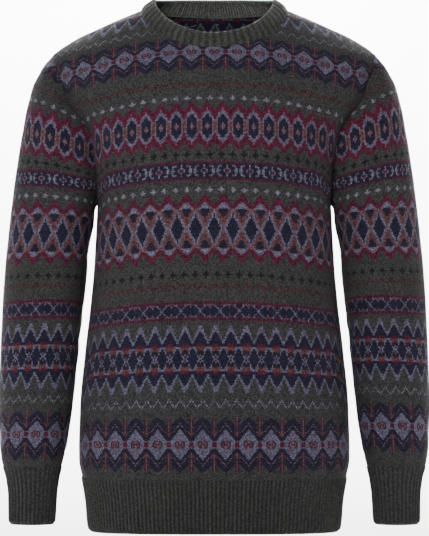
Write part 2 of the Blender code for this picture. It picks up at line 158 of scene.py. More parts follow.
# %% The torso's rings
RIDGE_POINTS = 481
RIDGE_X = np.linspace(RIDGE["across"][0], RIDGE["across"][-1], RIDGE_POINTS) * MM
RIDGE_Z = smooth_read(RIDGE["across"], RIDGE["height"], RIDGE_X / MM) * MM


def armhole_edge(height):
    """Distance from the middle of the jumper to the armhole seam, at a height."""
    return read(ARMHOLE, "across", height)


def armhole_slope(height):
    """How fast the armhole's edge moves out with height."""
    return (armhole_edge(height + MM) - armhole_edge(height - MM)) / (2 * MM)


def armhole_normal(height):
    """Direction across the armhole seam, away from the torso, for the +X side."""
    slope = armhole_slope(height)
    return unit(np.stack([np.ones_like(slope), 0 * slope, -slope], axis=-1))


def armhole_inward(side, turn):
    """Direction along the armhole's sheet to the inside of the armhole, for the +X side."""
    across = -FACING[side] * np.sin(turn) / ARM_DEPTH[side]
    up = -np.cos(turn) / ARM_REACH
    slope = armhole_slope(ARM_MID + ARM_REACH * np.cos(turn))
    return unit(np.stack([slope * up, across, up], axis=-1))


def squareness(height):
    """The power that shapes the torso's ring at a height; 2 would be an ellipse."""
    return read(SQUARE, "by", height) / MM


def half_width(side, height):
    """Half the width of the torso's ring; beside the armhole, the ring its edge would have."""
    height = np.asarray(height, float)
    ridge = np.interp(height, RIDGE_Z[::-1], RIDGE_X[::-1])
    around = np.clip((height - ARM_MID) / ARM_REACH, -1, 1)
    power = squareness(height)
    share = (ARM_DEPTH[side] * np.sqrt(1 - around**2) / read(DEPTH, side, height)) ** power
    beside = armhole_edge(height) / (1 - share) ** (1 / power)
    below = read(TORSO, "half_width", height)
    return np.where(height <= ARMPIT, below, np.where(height >= ARM_TOP, ridge, beside))


def plain_y(side, x, z):
    """Depth of a panel's outer face without folds, and its share of the ring's full depth."""
    power = squareness(z)
    reach = (1 - np.clip(np.abs(x) / half_width(side, z), 0, 1) ** power) ** (1 / power)
    return read(DEPTH, side, z) * reach, reach


def ring_points(side, height, turn):
    """X and depth round a quarter of the ring, from the middle of a panel to its side seam."""
    power = 2 / squareness(height)
    x = half_width(side, height) * np.sin(turn) ** power
    return np.stack([x, read(DEPTH, side, height) * np.cos(turn) ** power], axis=-1)


print("widest:", round(2 * max(TORSO["half_width"])), "mm, at the hips")

# %% [markdown]
# ## The torso's folds
#
# Worn wool never hangs flat. Soft troughs run down from the armpits, a few level ones lie where the
# knit settles over the rib, and small creases break up the sides. Each is one smooth hollow that is
# pressed into the sheet, which keeps the stitches whole and the surface fair.

# %% Folds as short, slanting hollows
# Each row: place across and height, angle from level in degrees, length, width, depth. Those under
# BOTH lie on both halves of the panel, and those under ONE on one half only.
BOTH, ONE = "both", "one"
TORSO_FOLDS = {
    (FRONT, BOTH): (
        *((132, -225, 48, 110, 34, 4.5), (140, -335, 24, 110, 32, 3.0)),
        (118, -560, -12, 130, 34, 3.0),
    ),
    (BACK, BOTH): (
        *((128, -222, 46, 120, 38, 5.0), (138, -370, 20, 120, 34, 4.0)),
        *((110, -470, 10, 140, 36, 4.0), (30, -565, 3, 150, 36, 3.5)),
    ),
    (FRONT, ONE): (
        *((147, -262, 60, 80, 10, 2.4), (-148, -256, -63, 70, 9, 2.6), (128, -292, 52, 90, 12, 1.6)),
        *((-131, -300, -50, 84, 11, 1.8), (157, -392, 30, 60, 11, 1.8), (-160, -405, -26, 66, 12, 2.0)),
        *((162, -470, 14, 56, 12, 1.6), (-158, -498, -12, 70, 13, 1.7), (150, -585, 8, 90, 11, 2.0)),
        *((-138, -592, -6, 104, 10, 1.8), (30, -600, 3, 120, 9, 1.0), (-52, -522, -7, 110, 14, 0.9)),
        (78, -432, 12, 96, 15, 0.9),
    ),
    (BACK, ONE): (
        *((146, -268, 58, 84, 10, 2.6), (-150, -262, -60, 78, 11, 2.4), (118, -310, 42, 100, 13, 2.0)),
        *((-124, -322, -40, 92, 12, 2.2), (60, -402, 16, 130, 16, 2.0), (-72, -428, -13, 120, 15, 2.2)),
        *((142, -500, 12, 90, 12, 2.2), (-138, -534, -10, 96, 13, 2.0), (-20, -505, -4, 140, 15, 1.7)),
        *((96, -588, 6, 110, 11, 2.0), (-90, -596, -5, 120, 10, 1.8), (70, -120, -28, 90, 18, 1.8)),
        (-66, -128, 31, 96, 18, 1.6),
    ),
}
FOLD_FADE = 1.6


def fold_depth(side, x, z, reach):
    """How far the troughs draw a panel in. They fade out towards its side seams."""
    drawn = np.zeros(x.shape)
    for spread, place in ((BOTH, np.abs(x)), (ONE, x)):
        for across, height, angle, long, wide, deep in TORSO_FOLDS[side, spread]:
            run, rise = math.cos(math.radians(angle)), math.sin(math.radians(angle))
            away, above = place / MM - across, z / MM - height
            along, off = away * run + above * rise, above * run - away * rise
            drawn += deep * np.exp(-((along / long * 2) ** 2) - (off / wide) ** 2)
    return drawn * MM * np.clip(reach * FOLD_FADE, 0, 1)


print("folds pressed into the torso:", sum(len(folds) for folds in TORSO_FOLDS.values()))

# %% [markdown]
# ## Counting stitches instead of laying on an image
#
# A fair isle pattern is a chart, in which each stitch is one square. So every point of the cloth
# gets two numbers, its stitch along the row and its course, counted down from the shoulder. They
# are stored in a UV map called stitches. The courses are not level on a worn jumper. They sag
# towards the sides, so a point's course is read at the height where that row crosses the middle of
# the front.

# %% Courses and stitches of the torso
COURSE = (0, 39, 81, 120, 162, 174, 200, 227, 242, 260, 296, 339, 351, 373, 418, 460, 499, 533, 545)
BELOW_CHEST = (-286.2, -346.9, -364.1, -395.2, -458.7, -517.8, -572.1, -619.5, -636)
COURSE_HEIGHT = {
    FRONT: (62, 24, -16.5, -49, -96, -113.3, -150.5, -188.4, -209.8, -235.1, *BELOW_CHEST),
    BACK: (72, 26, -22, -68, -118, -133, -164, -196, -214, -237, *BELOW_CHEST),
}
SAG = {
    "height": (-636, -573, -517, -472, -443, -395, -364, -347, -286, -235, -188, -150, -96, -49, 66),
    "by": (0, 1.3, 3.6, 5.2, 6.2, 7.2, 8.8, 9.5, 11.7, 10.2, 10, 12.3, 13.1, 13.4, 12),
    "at_edge": (0, 4.3, 11, 12.3, 13.6, 2, 0, 0, 3.2, 11, 11, 11.7, 3, 0, 0),
}
SAG_ACROSS, SAG_POWER, SAG_BEYOND, SAG_ROUNDS = 134 * MM, 2.3, 2.1, 6
EDGE_REACH = 19 * MM
STITCH = {
    "height": (-640, -573, -443, -347, -286, -235, -150, -49, 20),
    "wide": (1.89, 1.89, 1.843, 1.833, 1.89, 1.90, 1.864, 1.903, 1.9),
}
RING_POINTS, RING_LEVELS = 160, 260
BELOW_SEAM, ABOVE_NECK = 5 * MM, MM
INSIDE_GRID = 1.001


def course_at(side, x, z):
    """Course of the knit at a place on the torso."""
    level = np.array(z, float)
    across = np.abs(x) / SAG_ACROSS
    bend = np.where(across < 1, across**SAG_POWER, 1 + SAG_BEYOND * (across - 1))
    limit = np.where(z > ARMPIT, armhole_edge(z), half_width(side, z))
    near_edge = ease_in((np.abs(x) - limit + EDGE_REACH) / EDGE_REACH)
    for _ in range(SAG_ROUNDS):
        level = z + read(SAG, "by", level) * bend + read(SAG, "at_edge", level) * near_edge
    return smooth_read(COURSE_HEIGHT[side][::-1], COURSE[::-1], level / MM)


def stitch_at(side, x, z):
    """Stitch of the knit, counted both ways from the middle of the panel."""
    levels = np.linspace(HEM_SEAM - BELOW_SEAM, NECK_TOP + ABOVE_NECK, RING_LEVELS)
    turn = np.linspace(0, math.pi / 2, RING_POINTS)
    length = running_length(ring_points(side, levels[:, None], turn), axis=1)
    share = np.clip(np.abs(x) / half_width(side, z), 0, 1) ** (squareness(z) / 2)
    column = np.clip(np.arcsin(share) / turn[-1] * (RING_POINTS - 1), 0, RING_POINTS - INSIDE_GRID)
    row = (z - levels[0]) / (levels[-1] - levels[0]) * (RING_LEVELS - 1)
    row = np.clip(row, 0, RING_LEVELS - INSIDE_GRID)
    r, c = row.astype(int), column.astype(int)
    down, along = row - r, column - c
    upper = length[r, c] * (1 - along) + length[r, c + 1] * along
    lower = length[r + 1, c] * (1 - along) + length[r + 1, c + 1] * along
    return np.sign(x) * (upper * (1 - down) + lower * down) / read(STITCH, "wide", z)


chest_side = (np.array([TORSO["half_width"][-1] * MM]), np.array([ARMPIT]))
print("stitches across the chest:", round(2 * float(stitch_at(FRONT, *chest_side)[0])))

# %% [markdown]
# ## Cloth with two faces
#
# Knitted wool is about 2.4 mm thick. A sheet is made as a grid of outer points, a second grid drawn
# in square to the first, and a rim that closes it all round. Solidify could thicken the sheet, but
# here the rims have to meet the next piece along its seam, so each rim point is given its own
# direction. The inner face has its own material, because the wrong side of this knit looks
# different: loose strands of yarn run across it.

# %% Building closed sheets and rings
OUTER, INNER = 0, 1
LOW, HIGH = slice(None, -1), slice(1, None)
SHARP_ANGLE = math.radians(55)


def grid_normals(points, closed=False):
    """Directions square to a sheet of points, at each of them."""
    if closed:
        wide = np.concatenate([points[:, -2:-1], points, points[:, 1:2]], axis=1)
        across = wide[:, 2:] - wide[:, :-2]
    else:
        across = np.gradient(points, axis=1)
    return unit(np.cross(across, np.gradient(points, axis=0)))


def join_up(name, grids, stitches, closed, faces):
    """An object from grids of points. Faces are groups of four corners: row, column and grid."""
    place = np.arange(grids[0][..., 0].size).reshape(grids[0].shape[:2])
    number = place.copy()
    if closed:
        number[:, -1] = number[:, 0]
    corners, places, inside = [], [], []
    for layer, four in faces:
        corners.append(np.stack([(number[r, c] + place.size * k).ravel() for r, c, k in four], axis=1))
        places.append(np.stack([place[r, c].ravel() for r, c, _ in four], axis=1))
        inside.append(np.full(len(places[-1]), layer, np.int32))
    used, corners = np.unique(np.concatenate(corners), return_inverse=True)
    points = np.concatenate([grid.reshape(-1, 3) for grid in grids])[used]
    stitches = stitches.reshape(-1, 2)[np.concatenate(places)]
    mesh = bpy.data.meshes.new(name)
    mesh.from_pydata(points.tolist(), [], corners.reshape(-1, 4).tolist())
    uv_map = mesh.uv_layers.new(name="stitches")
    uv_map.data.foreach_set("uv", stitches.reshape(-1).astype(np.float32))
    mesh.polygons.foreach_set("material_index", np.concatenate(inside))
    build = bmesh.new()
    build.from_mesh(mesh)
    bmesh.ops.recalc_face_normals(build, faces=build.faces)
    build.to_mesh(mesh)
    build.free()
    mesh.shade_smooth()
    mesh.set_sharp_from_angle(angle=SHARP_ANGLE)
    piece = bpy.data.objects.new(name, mesh)
    bpy.context.scene.collection.objects.link(piece)
    return piece


def cloth(name, outer, inner, stitches, closed):
    """A closed sheet between two grids of points. A closed grid repeats its first column last."""
    faces = [(k, ((LOW, LOW, k), (LOW, HIGH, k), (HIGH, HIGH, k), (HIGH, LOW, k))) for k in (OUTER, INNER)]
    for end in (0, -1):
        faces.append((OUTER, ((end, LOW, 0), (end, HIGH, 0), (end, HIGH, 1), (end, LOW, 1))))
        if not closed:
            faces.append((OUTER, ((LOW, end, 0), (HIGH, end, 0), (HIGH, end, 1), (LOW, end, 1))))
    return join_up(name, (outer, inner), stitches, closed, faces)


def ring(name, lines, u, v, crown):
    """A tube bent round to meet itself. Its lines from the crown on are the inside."""
    faces = []
    for layer, rows in ((OUTER, np.arange(crown)), (INNER, np.arange(crown, len(lines)))):
        after = (rows + 1) % len(lines)
        faces.append((layer, ((rows, LOW, 0), (rows, HIGH, 0), (after, HIGH, 0), (after, LOW, 0))))
    return join_up(name, (lines,), np.stack(np.meshgrid(u, v), axis=-1), True, faces)


def toward_edge(count, reach):
    """Weights that are 1 at the first of some rows or columns and soften to 0 after reach."""
    return np.clip(1 - np.arange(count) / reach, 0, 1) ** 2


def sheet_area(outer):
    """Area of a grid of points, in square metres."""
    one = outer[1:, 1:] - outer[:-1, :-1]
    other = outer[1:, :-1] - outer[:-1, 1:]
    return float(np.linalg.norm(np.cross(one, other), axis=-1).sum() / 2)


print("cloth wall:", round(WALL / MM, 1), "mm")

# %% [markdown]
# ## Front and back
#
# The two panels are knitted up from their ribs. They are joined along the sides and the shoulders,
# and both curve in to the neck seam. The armhole's edge is drawn in a few millimetres: a sewn seam
# in thick knit always lies in a soft valley. A cloth simulation would find valleys of its own, but
# not where they are wanted.

# %% The two panels
PANEL_COLUMNS = 84
COLUMN_STEP = 2.6 * MM
TORSO_ROWS, ARMHOLE_ROWS = 80, 74
RING_STEPS = 90
SEAM_VALLEY = {"height": (-250, -215, -160, -100, -44), "deep": (5.5, 8.0, 6.5, 3.0, 1.4)}
VALLEY_WIDE, VALLEY_POWER = 11 * MM, 0.5
EDGE_BLEND = 6


def along_ring(side, height, shares):
    """X of points at the given shares of the way from a panel's middle to its side seam."""
    points = ring_points(side, height, np.linspace(0, math.pi / 2, RING_STEPS))
    run = running_length(points)
    return np.interp(shares, run / run[-1], points[:, 0])


def half_grid(side):
    """X and Z of half a panel: rows from the rib up, columns from the middle to the side."""
    shares = np.linspace(0, 1, PANEL_COLUMNS + 1)
    neck = np.sin(np.minimum(shares * 2, 1) * math.pi / 2)
    beyond = np.maximum(shares * 2 - 1, 0)
    tip = RIDGE["across"][-1] * MM
    top_x = np.where(beyond > 0, NECK_HALF + beyond * (tip - NECK_HALF), NECK_HALF * neck)
    in_neck = NECK_TOP - NECK_DROP[side] * np.sqrt(1 - np.minimum(neck, 1) ** 2)
    top_z = np.where(beyond > 0, np.interp(top_x, RIDGE_X, RIDGE_Z), in_neck)
    rows = []
    for height in np.linspace(HEM_SEAM + HALF_GAP, ARMPIT, TORSO_ROWS + 1)[:-1]:
        rows.append((along_ring(side, height, shares), np.full(len(shares), height)))
    base_x = along_ring(side, ARMPIT, shares)
    for turn in np.linspace(math.pi, 0, ARMHOLE_ROWS + 1):
        rise = (1 + math.cos(turn)) / 2
        bow = armhole_edge(ARMPIT + rise * (ARM_TOP - ARMPIT))
        bow -= base_x[-1] + rise * (top_x[-1] - base_x[-1])
        x = base_x + rise * (top_x - base_x) + shares**2 * bow
        rows.append((x, ARMPIT + rise * (top_z - ARMPIT)))
    return np.stack(rows, axis=1)


def make_panel(side):
    """Front or back panel, with its outer grid of points."""
    facing, low = FACING[side], TORSO_ROWS
    x, z = (np.concatenate([way * half[:, :0:-1], half], 1) for way, half in zip((-1, 1), half_grid(side)))
    columns = np.arange(x.shape[1])
    on_ridge = np.abs(x[-1]) >= NECK_HALF - TINY
    depth, reach = plain_y(side, x, z)
    from_edge = np.minimum(columns, columns[::-1]) * COLUMN_STEP
    beside = np.zeros_like(x)
    beside[low:] = np.exp(-((from_edge / (2 * VALLEY_WIDE)) ** 2))
    folds = fold_depth(side, x, z, reach) * (1 - beside)
    outer = np.stack([x, facing * (depth - folds), z], axis=-1)
    outer[:low, [0, -1], 1] = 0
    outer[-1, on_ridge, 1] = 0
    turn = np.linspace(math.pi, 0, ARMHOLE_ROWS + 1)
    height = ARM_MID + ARM_REACH * np.cos(turn)
    valley = read(SEAM_VALLEY, "deep", height) * np.sin(turn) ** VALLEY_POWER
    for way, picked in ((-1.0, x[0] < 0), (1.0, x[0] > 0)):
        near = np.exp(-((from_edge[picked] / VALLEY_WIDE) ** 2))
        into = armhole_inward(side, turn) * flip(way)
        outer[low:, picked] += into[:, None] * (valley[:, None] * near)[:, :, None]
    normal = grid_normals(outer)
    inward = -normal * np.sign(np.sum(normal[..., 1]) * facing)
    shift = np.zeros_like(outer)
    blend = toward_edge(len(columns), EDGE_BLEND)
    for column, way, weight in ((0, -1.0, blend), (-1, 1.0, blend[::-1])):
        edge = armhole_inward(side, turn) * flip(way)
        share = weight[None, :, None]
        inward[low:] = unit(inward[low:] * (1 - share) + edge[:, None] * share)
        inward[: low + 1, column] = (-way, 0, 0)
        shift[: low + 1, column, 1] = facing * HALF_GAP
        shift[low:, column] -= armhole_normal(height) * flip(way) * HALF_GAP
    inward[..., 1] *= 1 - toward_edge(len(outer), EDGE_BLEND)[::-1, None] * on_ridge
    inward[0, :, 2] = 0
    shift[-1, on_ridge, 1] = facing * HALF_GAP
    inner = outer + unit(inward) * WALL
    stitches = np.stack([stitch_at(side, x, z), course_at(side, x, z)], axis=-1)
    return cloth(side + "_panel", outer + shift, inner + shift, stitches, False), outer


panels, panel_grids = {}, {}
for side in FACING:
    panels[side], panel_grids[side] = make_panel(side)
    print("cloth in the", side, round(sheet_area(panel_grids[side]), 3), "m2")
girth = sum(running_length(grid[TORSO_ROWS])[-1] for grid in panel_grids.values())
print("chest, all round:", round(100 * girth), "cm")

# %% [markdown]
# ## The shape of the sleeves
#
# A sleeve is a tube from the armhole to the cuff. Its sections start along the armhole, nearly
# upright, and turn to lie across the arm. The wool gathers where the arm bends and above the cuff,
# so short slanting troughs are pressed in there, different on each sleeve. A cylinder bent along a
# curve would be quicker, but it pinches on the inside of the bend.

# %% The sleeve's sections and folds
SLEEVE = {
    "outer_x": (220, 240, 253, 262, 269.5, 276, 282, 287, 290, 292, 293, 292, 290, 286.5),
    "outer_z": (-44, -72, -106, -150, -195, -243, -297, -352, -408, -466, -512, -556, -588, -605.5),
    "inner_x": (159.5, 163.2, 164, 166, 169, 172, 176, 179.5, 182.5, 186.5, 191.5, 197, 203, 207.5),
    "inner_z": (-250, -258, -270, -287, -307, -330, -365, -398, -432, -466, -512, -556, -588, -605.5),
    FRONT: (50, 60, 63, 63, 62, 60, 59, 58, 56, 54, 51, 48, 43, 37),
    BACK: (55, 63, 65, 65, 63, 61, 59, 57, 55, 53, 50, 47, 43, 37),
    "middle_y": (0, 0, 1, 2, 3, 3, 3, 2, 0, -4, -8, -12, -15, -17),
}
SLEEVE_SQUARENESS = 2.2
LAST_SECTION = 13
# Each row: section, turn round it from the outer line (90 is the front), reach along in sections,
# reach round in degrees, slant in sections for each 90 degrees, depth.
SLEEVE_FOLDS = {
    BOTH: (
        *((2.0, 128, 0.5, 38, 0, 3.5), (3.6, 150, 0.6, 40, 0, 4.0), (7.2, 128, 0.3, 40, -0.3, 3.0)),
        *((8.3, 100, 0.3, 45, 0.3, 2.2), (9.4, 125, 0.3, 45, -0.3, 2.4), (11.3, 70, 0.3, 55, 0.2, 2.0)),
        *((4.5, 215, 0.7, 50, 0, 4.0), (8.0, 235, 0.45, 60, 0, 3.5)),
    ),
    "left": (
        *((1.2, 138, 0.22, 26, -0.6, 2.4), (2.9, 146, 0.2, 30, -0.7, 2.4)),
        *((4.7, 136, 0.2, 28, -0.8, 2.4), (6.3, 138, 0.17, 30, -0.5, 2.4)),
        *((7.9, 140, 0.14, 34, -0.4, 2.6), (8.9, 96, 0.17, 34, 0.5, 1.4)),
        *((10.3, 132, 0.16, 36, -0.4, 2.0), (11.9, 120, 0.15, 60, 0.3, 1.6)),
        *((12.5, 40, 0.14, 60, 0.2, 1.6), (5.6, 255, 0.25, 42, 0.6, 2.6), (7.0, 275, 0.2, 46, 0.5, 2.4)),
        *((9.1, 250, 0.22, 50, 0.4, 2.2), (11.6, 265, 0.18, 60, 0.3, 1.8)),
    ),
    "right": (
        *((1.4, 134, 0.2, 28, -0.7, 2.6), (3.2, 150, 0.22, 32, -0.6, 2.2)),
        *((5.1, 134, 0.2, 30, -0.8, 2.4), (6.9, 140, 0.15, 32, -0.4, 2.6)),
        *((8.4, 134, 0.16, 36, -0.5, 2.2), (9.9, 100, 0.2, 36, 0.4, 1.4)),
        *((11.0, 128, 0.16, 36, -0.3, 2.0), (12.2, 90, 0.15, 64, 0.3, 1.7)),
        *((5.3, 262, 0.24, 44, 0.7, 2.4), (7.3, 248, 0.2, 48, 0.5, 2.6), (9.6, 270, 0.22, 52, 0.4, 2.0)),
        (12.0, 250, 0.17, 60, 0.2, 1.8),
    ),
}
SLEEVE_ROWS, SLEEVE_COLUMNS = 190, 96


def sleeve_points(name, section, turn):
    """Outer points of a sleeve, +X side: a row for each section, turns from its outer line."""
    at = {key: smooth_read(range(LAST_SECTION + 1), row, section) * MM for key, row in SLEEVE.items()}
    power = 2 / (2 + (SLEEVE_SQUARENESS - 2) * np.minimum(section, 1))
    cos, sin = (np.sign(wave) * np.abs(wave) ** power for wave in (np.cos(turn), np.sin(turn)))
    x = (at["outer_x"] + at["inner_x"]) / 2 + (at["outer_x"] - at["inner_x"]) / 2 * cos
    z = (at["outer_z"] + at["inner_z"]) / 2 + (at["outer_z"] - at["inner_z"]) / 2 * cos
    y = at["middle_y"] - np.where(sin > 0, at[FRONT], at[BACK]) * sin
    height = ARM_MID + ARM_REACH * cos
    level = (height - ARMPIT) / (ARM_TOP - ARMPIT)
    low, high = armhole_edge(np.array([ARMPIT, ARM_TOP]))
    bow = armhole_edge(height) - low - level * (high - low)
    x = x + bow * np.clip(1 - section / 2, 0, 1) ** 2
    points = np.stack([x, y, z], axis=-1)
    middle = np.stack([x[:, :-1].mean(axis=1), at["middle_y"][:, 0], z[:, :-1].mean(axis=1)], axis=-1)
    drawn = np.zeros_like(x)
    for place, round_at, along, reach, slant, deep in SLEEVE_FOLDS[BOTH] + SLEEVE_FOLDS[name]:
        off = (np.degrees(turn) - round_at + 180) % 360 - 180
        run = section - place - slant * off / 90
        drawn += deep * MM * np.exp(-((run / along) ** 2) - (off / reach) ** 2)
    drawn *= np.clip(section, 0, 1) * np.clip(LAST_SECTION - section, 0, 1)
    return points + unit(middle[:, None] - points) * drawn[..., None]


print("folds in a sleeve:", len(SLEEVE_FOLDS[BOTH] + SLEEVE_FOLDS["left"]))

# %% [markdown]
# ## The pattern on a sleeve
#
# The pattern on a sleeve is knitted as its own piece, so its rows have their own table. They slope
# on the cap, where the arm hangs but the sleeve head is sewn to a slanting armhole. No flat chart
# fits such a bent tube exactly, so the stitch numbers are solved for: of all ways to number the
# points, the one whose stitches come closest to their right width everywhere. The count starts at
# one upright line of stitches down the front of the sleeve.

# %% Courses and stitches of a sleeve
SLEEVE_COURSE = (60, 120, 162, 174, 200, 227, 242, 260, 296, 339, 351, 373, 418, 460, 499, 533, 545)
SLEEVE_HEIGHT = (
    *(26, -51, -105, -121, -164.3, -199.2, -218, -240.7, -290),
    *(-347.1, -361.9, -392.1, -456, -513.1, -560.3, -605.5, -621),
)
TILT = {
    "height": (-620, -290, -240, -218, -199, -164, -123, -71, -30),
    "left": (-0.03, 0.08, 0.18, 0.22, 0.28, 0.36, 0.54, 0.66, 0.66),
    "right": (0, 0.03, 0.08, 0.10, 0.21, 0.32, 0.44, 0.59, 0.62),
    "middle": (244, 215, 214, 213, 212, 210, 213, 218, 221),
}
RIDE_UP = {
    "height": (-620, -560, -513, -443, -392, -290, -218, -164, -100, -30),
    "left": (9, 11.3, 11.7, 8.4, 5.9, 6.5, 6.8, 8.5, 8.5, 4),
    "right": (0, 0, 0, 0, 0, 0, 0, 0, -1, -1),
}
CURL, CURL_REACH, CURL_MOST = 2.6 * MM, 48 * MM, 1.2
LEVEL_ROUNDS, SOLVER_STEPS, SMOOTH_ROWS = 8, 900, 9
SLEEVE_STITCH = {
    "height": (-620, -560, -456, -392, -290, -164, -30),
    "wide": (1.73, 1.73, 1.72, 1.63, 1.78, 1.92, 1.92),
}
FRONT_LINE = {
    "height": (-620, -560, -456, -392, -347, -290, -164, -120, -70),
    "across": (244, 239.6, 232, 228.2, 223.5, 215.4, 210, 201, 185),
}


def sleeve_level(name, x, z):
    """Height on the sleeve's middle line of the row that passes a point, and the row's slope."""
    level = np.array(z, float)
    for _ in range(LEVEL_ROUNDS):
        away = x - read(TILT, "middle", level)
        slope = read(TILT, name, level) / MM
        curl = CURL * np.clip(away / CURL_REACH, -CURL_MOST, CURL_MOST) ** 2
        level = z - slope * away + curl - read(RIDE_UP, name, level)
    return level, read(TILT, name, level) / MM


def even_stitches(points, row_way, wide):
    """Stitch numbers over a sleeve, spaced along its rows as evenly as its shape allows."""
    size = [np.linalg.norm(np.gradient(points, axis=axis), axis=-1) for axis in (0, 1)]
    wanted, weights = [], []
    for axis in (0, 1):
        first = (LOW, slice(None))[:: 1 - 2 * axis]
        second = (HIGH, slice(None))[:: 1 - 2 * axis]
        step = np.sum(np.diff(points, axis=axis) * (row_way[first] + row_way[second]) / 2, axis=-1)
        wanted.append(step * 2 / (wide[first] + wide[second]))
        share = size[1 - axis] / size[axis]
        weights.append((share[first] + share[second]) / 2)

    def pull(rows, columns):
        """How strongly the steps between the points pull at each of them."""
        total = np.zeros(wide.shape)
        total[1:] += rows
        total[:-1] -= rows
        total[:, 1:] += columns
        total[:, :-1] -= columns
        return total

    count = np.zeros(wide.shape)
    left = pull(*(weight * want for weight, want in zip(weights, wanted)))
    way, size_left = left.copy(), np.sum(left * left)
    for _ in range(SOLVER_STEPS):
        moved = pull(*(weight * np.diff(way, axis=k) for k, weight in enumerate(weights)))
        amount = size_left / np.sum(way * moved)
        count += amount * way
        left -= amount * moved
        size_before, size_left = size_left, np.sum(left * left)
        way = left + size_left / size_before * way
    return count


def sleeve_stitches(name, points, turn):
    """Stitch and course at each point of a sleeve's grid, +X side."""
    x, z = points[..., 0], points[..., 2]
    level, slope = sleeve_level(name, x, z)
    course = smooth_read(SLEEVE_HEIGHT[::-1], SLEEVE_COURSE[::-1], level / MM)
    normal = grid_normals(points, closed=True)
    rising = np.stack([-slope, 0 * slope, np.ones_like(slope)], axis=-1)
    rising -= np.sum(rising * normal, axis=-1, keepdims=True) * normal
    row_way = unit(np.cross(unit(rising), normal))
    count = even_stitches(points, row_way, read(SLEEVE_STITCH, "wide", level))
    beyond = x - read(FRONT_LINE, "across", z)
    start, at_level = np.zeros(len(x)), np.zeros(len(x))
    for row in range(len(x)):
        outside = np.nonzero((beyond[row] > 0) & (np.sin(turn[row]) > 0))[0][-1]
        ends = slice(outside, outside + 2)
        start[row] = np.interp(0, beyond[row, ends][::-1], count[row, ends][::-1])
        at_level[row] = np.interp(0, beyond[row, ends][::-1], level[row, ends][::-1])
    order = np.argsort(at_level)
    padded = np.pad(start[order], SMOOTH_ROWS // 2, mode="edge")
    start = np.convolve(padded, np.ones(SMOOTH_ROWS) / SMOOTH_ROWS, mode="valid")
    across = count - np.interp(level, at_level[order], start)
    outward = np.sign(np.sum(count[:, 0] - count[:, -1]))
    print(name, "sleeve, stitches round the elbow:", round(float(np.ptp(count[len(x) // 2]))))
    return np.stack([outward * across, course], axis=-1)


# %% [markdown]
# ## Making both sleeves
#
# Each sleeve is wrapped from its underarm seam, so the seam and the break in the pattern lie where a
# knitter sews them. It is made for the wearer's left and mirrored for the right, but its folds and
# pattern are its own. A Mirror modifier would be quicker, but it would copy the folds as well.

# %% Both sleeves
SLEEVE_WAYS = {"left": 1.0, "right": -1.0}


def make_sleeve(name, way):
    """A sleeve as a closed tube, with its outer grid."""
    turn = math.pi + np.linspace(0, 2 * math.pi, SLEEVE_COLUMNS + 1)
    sections = LAST_SECTION * np.linspace(0, 1, SLEEVE_ROWS + 1)
    section, turns = np.meshgrid(sections, turn, indexing="ij")
    outer = sleeve_points(name, section, turns)
    outer[:, -1] = outer[:, 0]
    stitches = sleeve_stitches(name, outer, turns)
    folded = np.abs((turn + math.pi) % (2 * math.pi) - math.pi)
    height = ARM_MID + ARM_REACH * np.cos(folded)
    edge = np.where((np.sin(turn) > 0)[:, None], *(armhole_inward(side, folded) for side in FACING))
    valley = read(SEAM_VALLEY, "deep", height) * np.abs(np.sin(turn)) ** VALLEY_POWER
    near = np.exp(-((running_length(outer) / VALLEY_WIDE) ** 2))
    outer += edge[None] * (valley[None] * near)[..., None]
    normal = grid_normals(outer, closed=True)
    normal *= np.sign(np.sum(normal * (outer - outer.mean(axis=1, keepdims=True))))
    share = toward_edge(len(sections), EDGE_BLEND)[:, None, None]
    inward = unit(-normal * (1 - share) + edge[None] * share)
    inward[-1, :, 2] = 0
    shift = np.zeros_like(outer)
    shift[0] = armhole_normal(height) * HALF_GAP
    shift[-1, :, 2] = HALF_GAP
    inner = outer + unit(inward) * WALL
    both = ((points + shift) * flip(way) for points in (outer, inner))
    return cloth("sleeve_" + name, *both, stitches, True), outer


sleeves, sleeve_grids = {}, {}
for name, way in SLEEVE_WAYS.items():
    sleeves[name], sleeve_grids[name] = make_sleeve(name, way)
    print(name, "sleeve, cloth:", round(sheet_area(sleeve_grids[name]), 3), "m2")

# %% [markdown]
# ## Ribs at the hem and cuffs
#
# Rib is plain and purl stitch in turn. The plain columns stand out as ridges and the purl columns
# sink between them, which makes the edge springy. The ridges are almost two millimetres high,
# enough to catch the light, so they are real shape and not only a bump in the finish.

# %% The ribbed edges
RIB_WALL, RIB_HEIGHT = 2.6 * MM, 1.7 * MM
HEM_RIBS, CUFF_RIBS = 85, 36
HEM_ROWS, CUFF_ROWS = 22, 24
POINTS_PER_RIB, RIB_STITCHES = 6, 3
RIB_COURSE = 1.35 * MM
RIB_POWER = 0.8
RIB_RUN_OUT, RIB_LEAST = 5 * MM, 0.35
BACK_RIB = 0.4
EDGE_ROUND, ROUND_FROM = 1.0 * MM, 3 * MM
HEM_SIDE_DROP = 3 * MM
CUFF_SEAM, CUFF_EDGE = -605.5 * MM, -684 * MM
CUFF = {
    "height": (-684, -678, -653, -626, -605.5),
    "outer_x": (276, 277.5, 278, 280.5, 286.5),
    "inner_x": (218, 216.7, 215.2, 212.4, 207.5),
    "deep": (26, 28, 28.5, 31.5, 37),
    "middle_y": (-21, -21, -20, -18.5, -17),
}


def rib_profile(count, per_rib):
    """Height of each point round a ribbed edge, from 0 in a purl column to 1 on a plain one."""
    turn = np.arange(count) / per_rib * 2 * math.pi
    return ((1 - np.cos(turn)) / 2) ** RIB_POWER


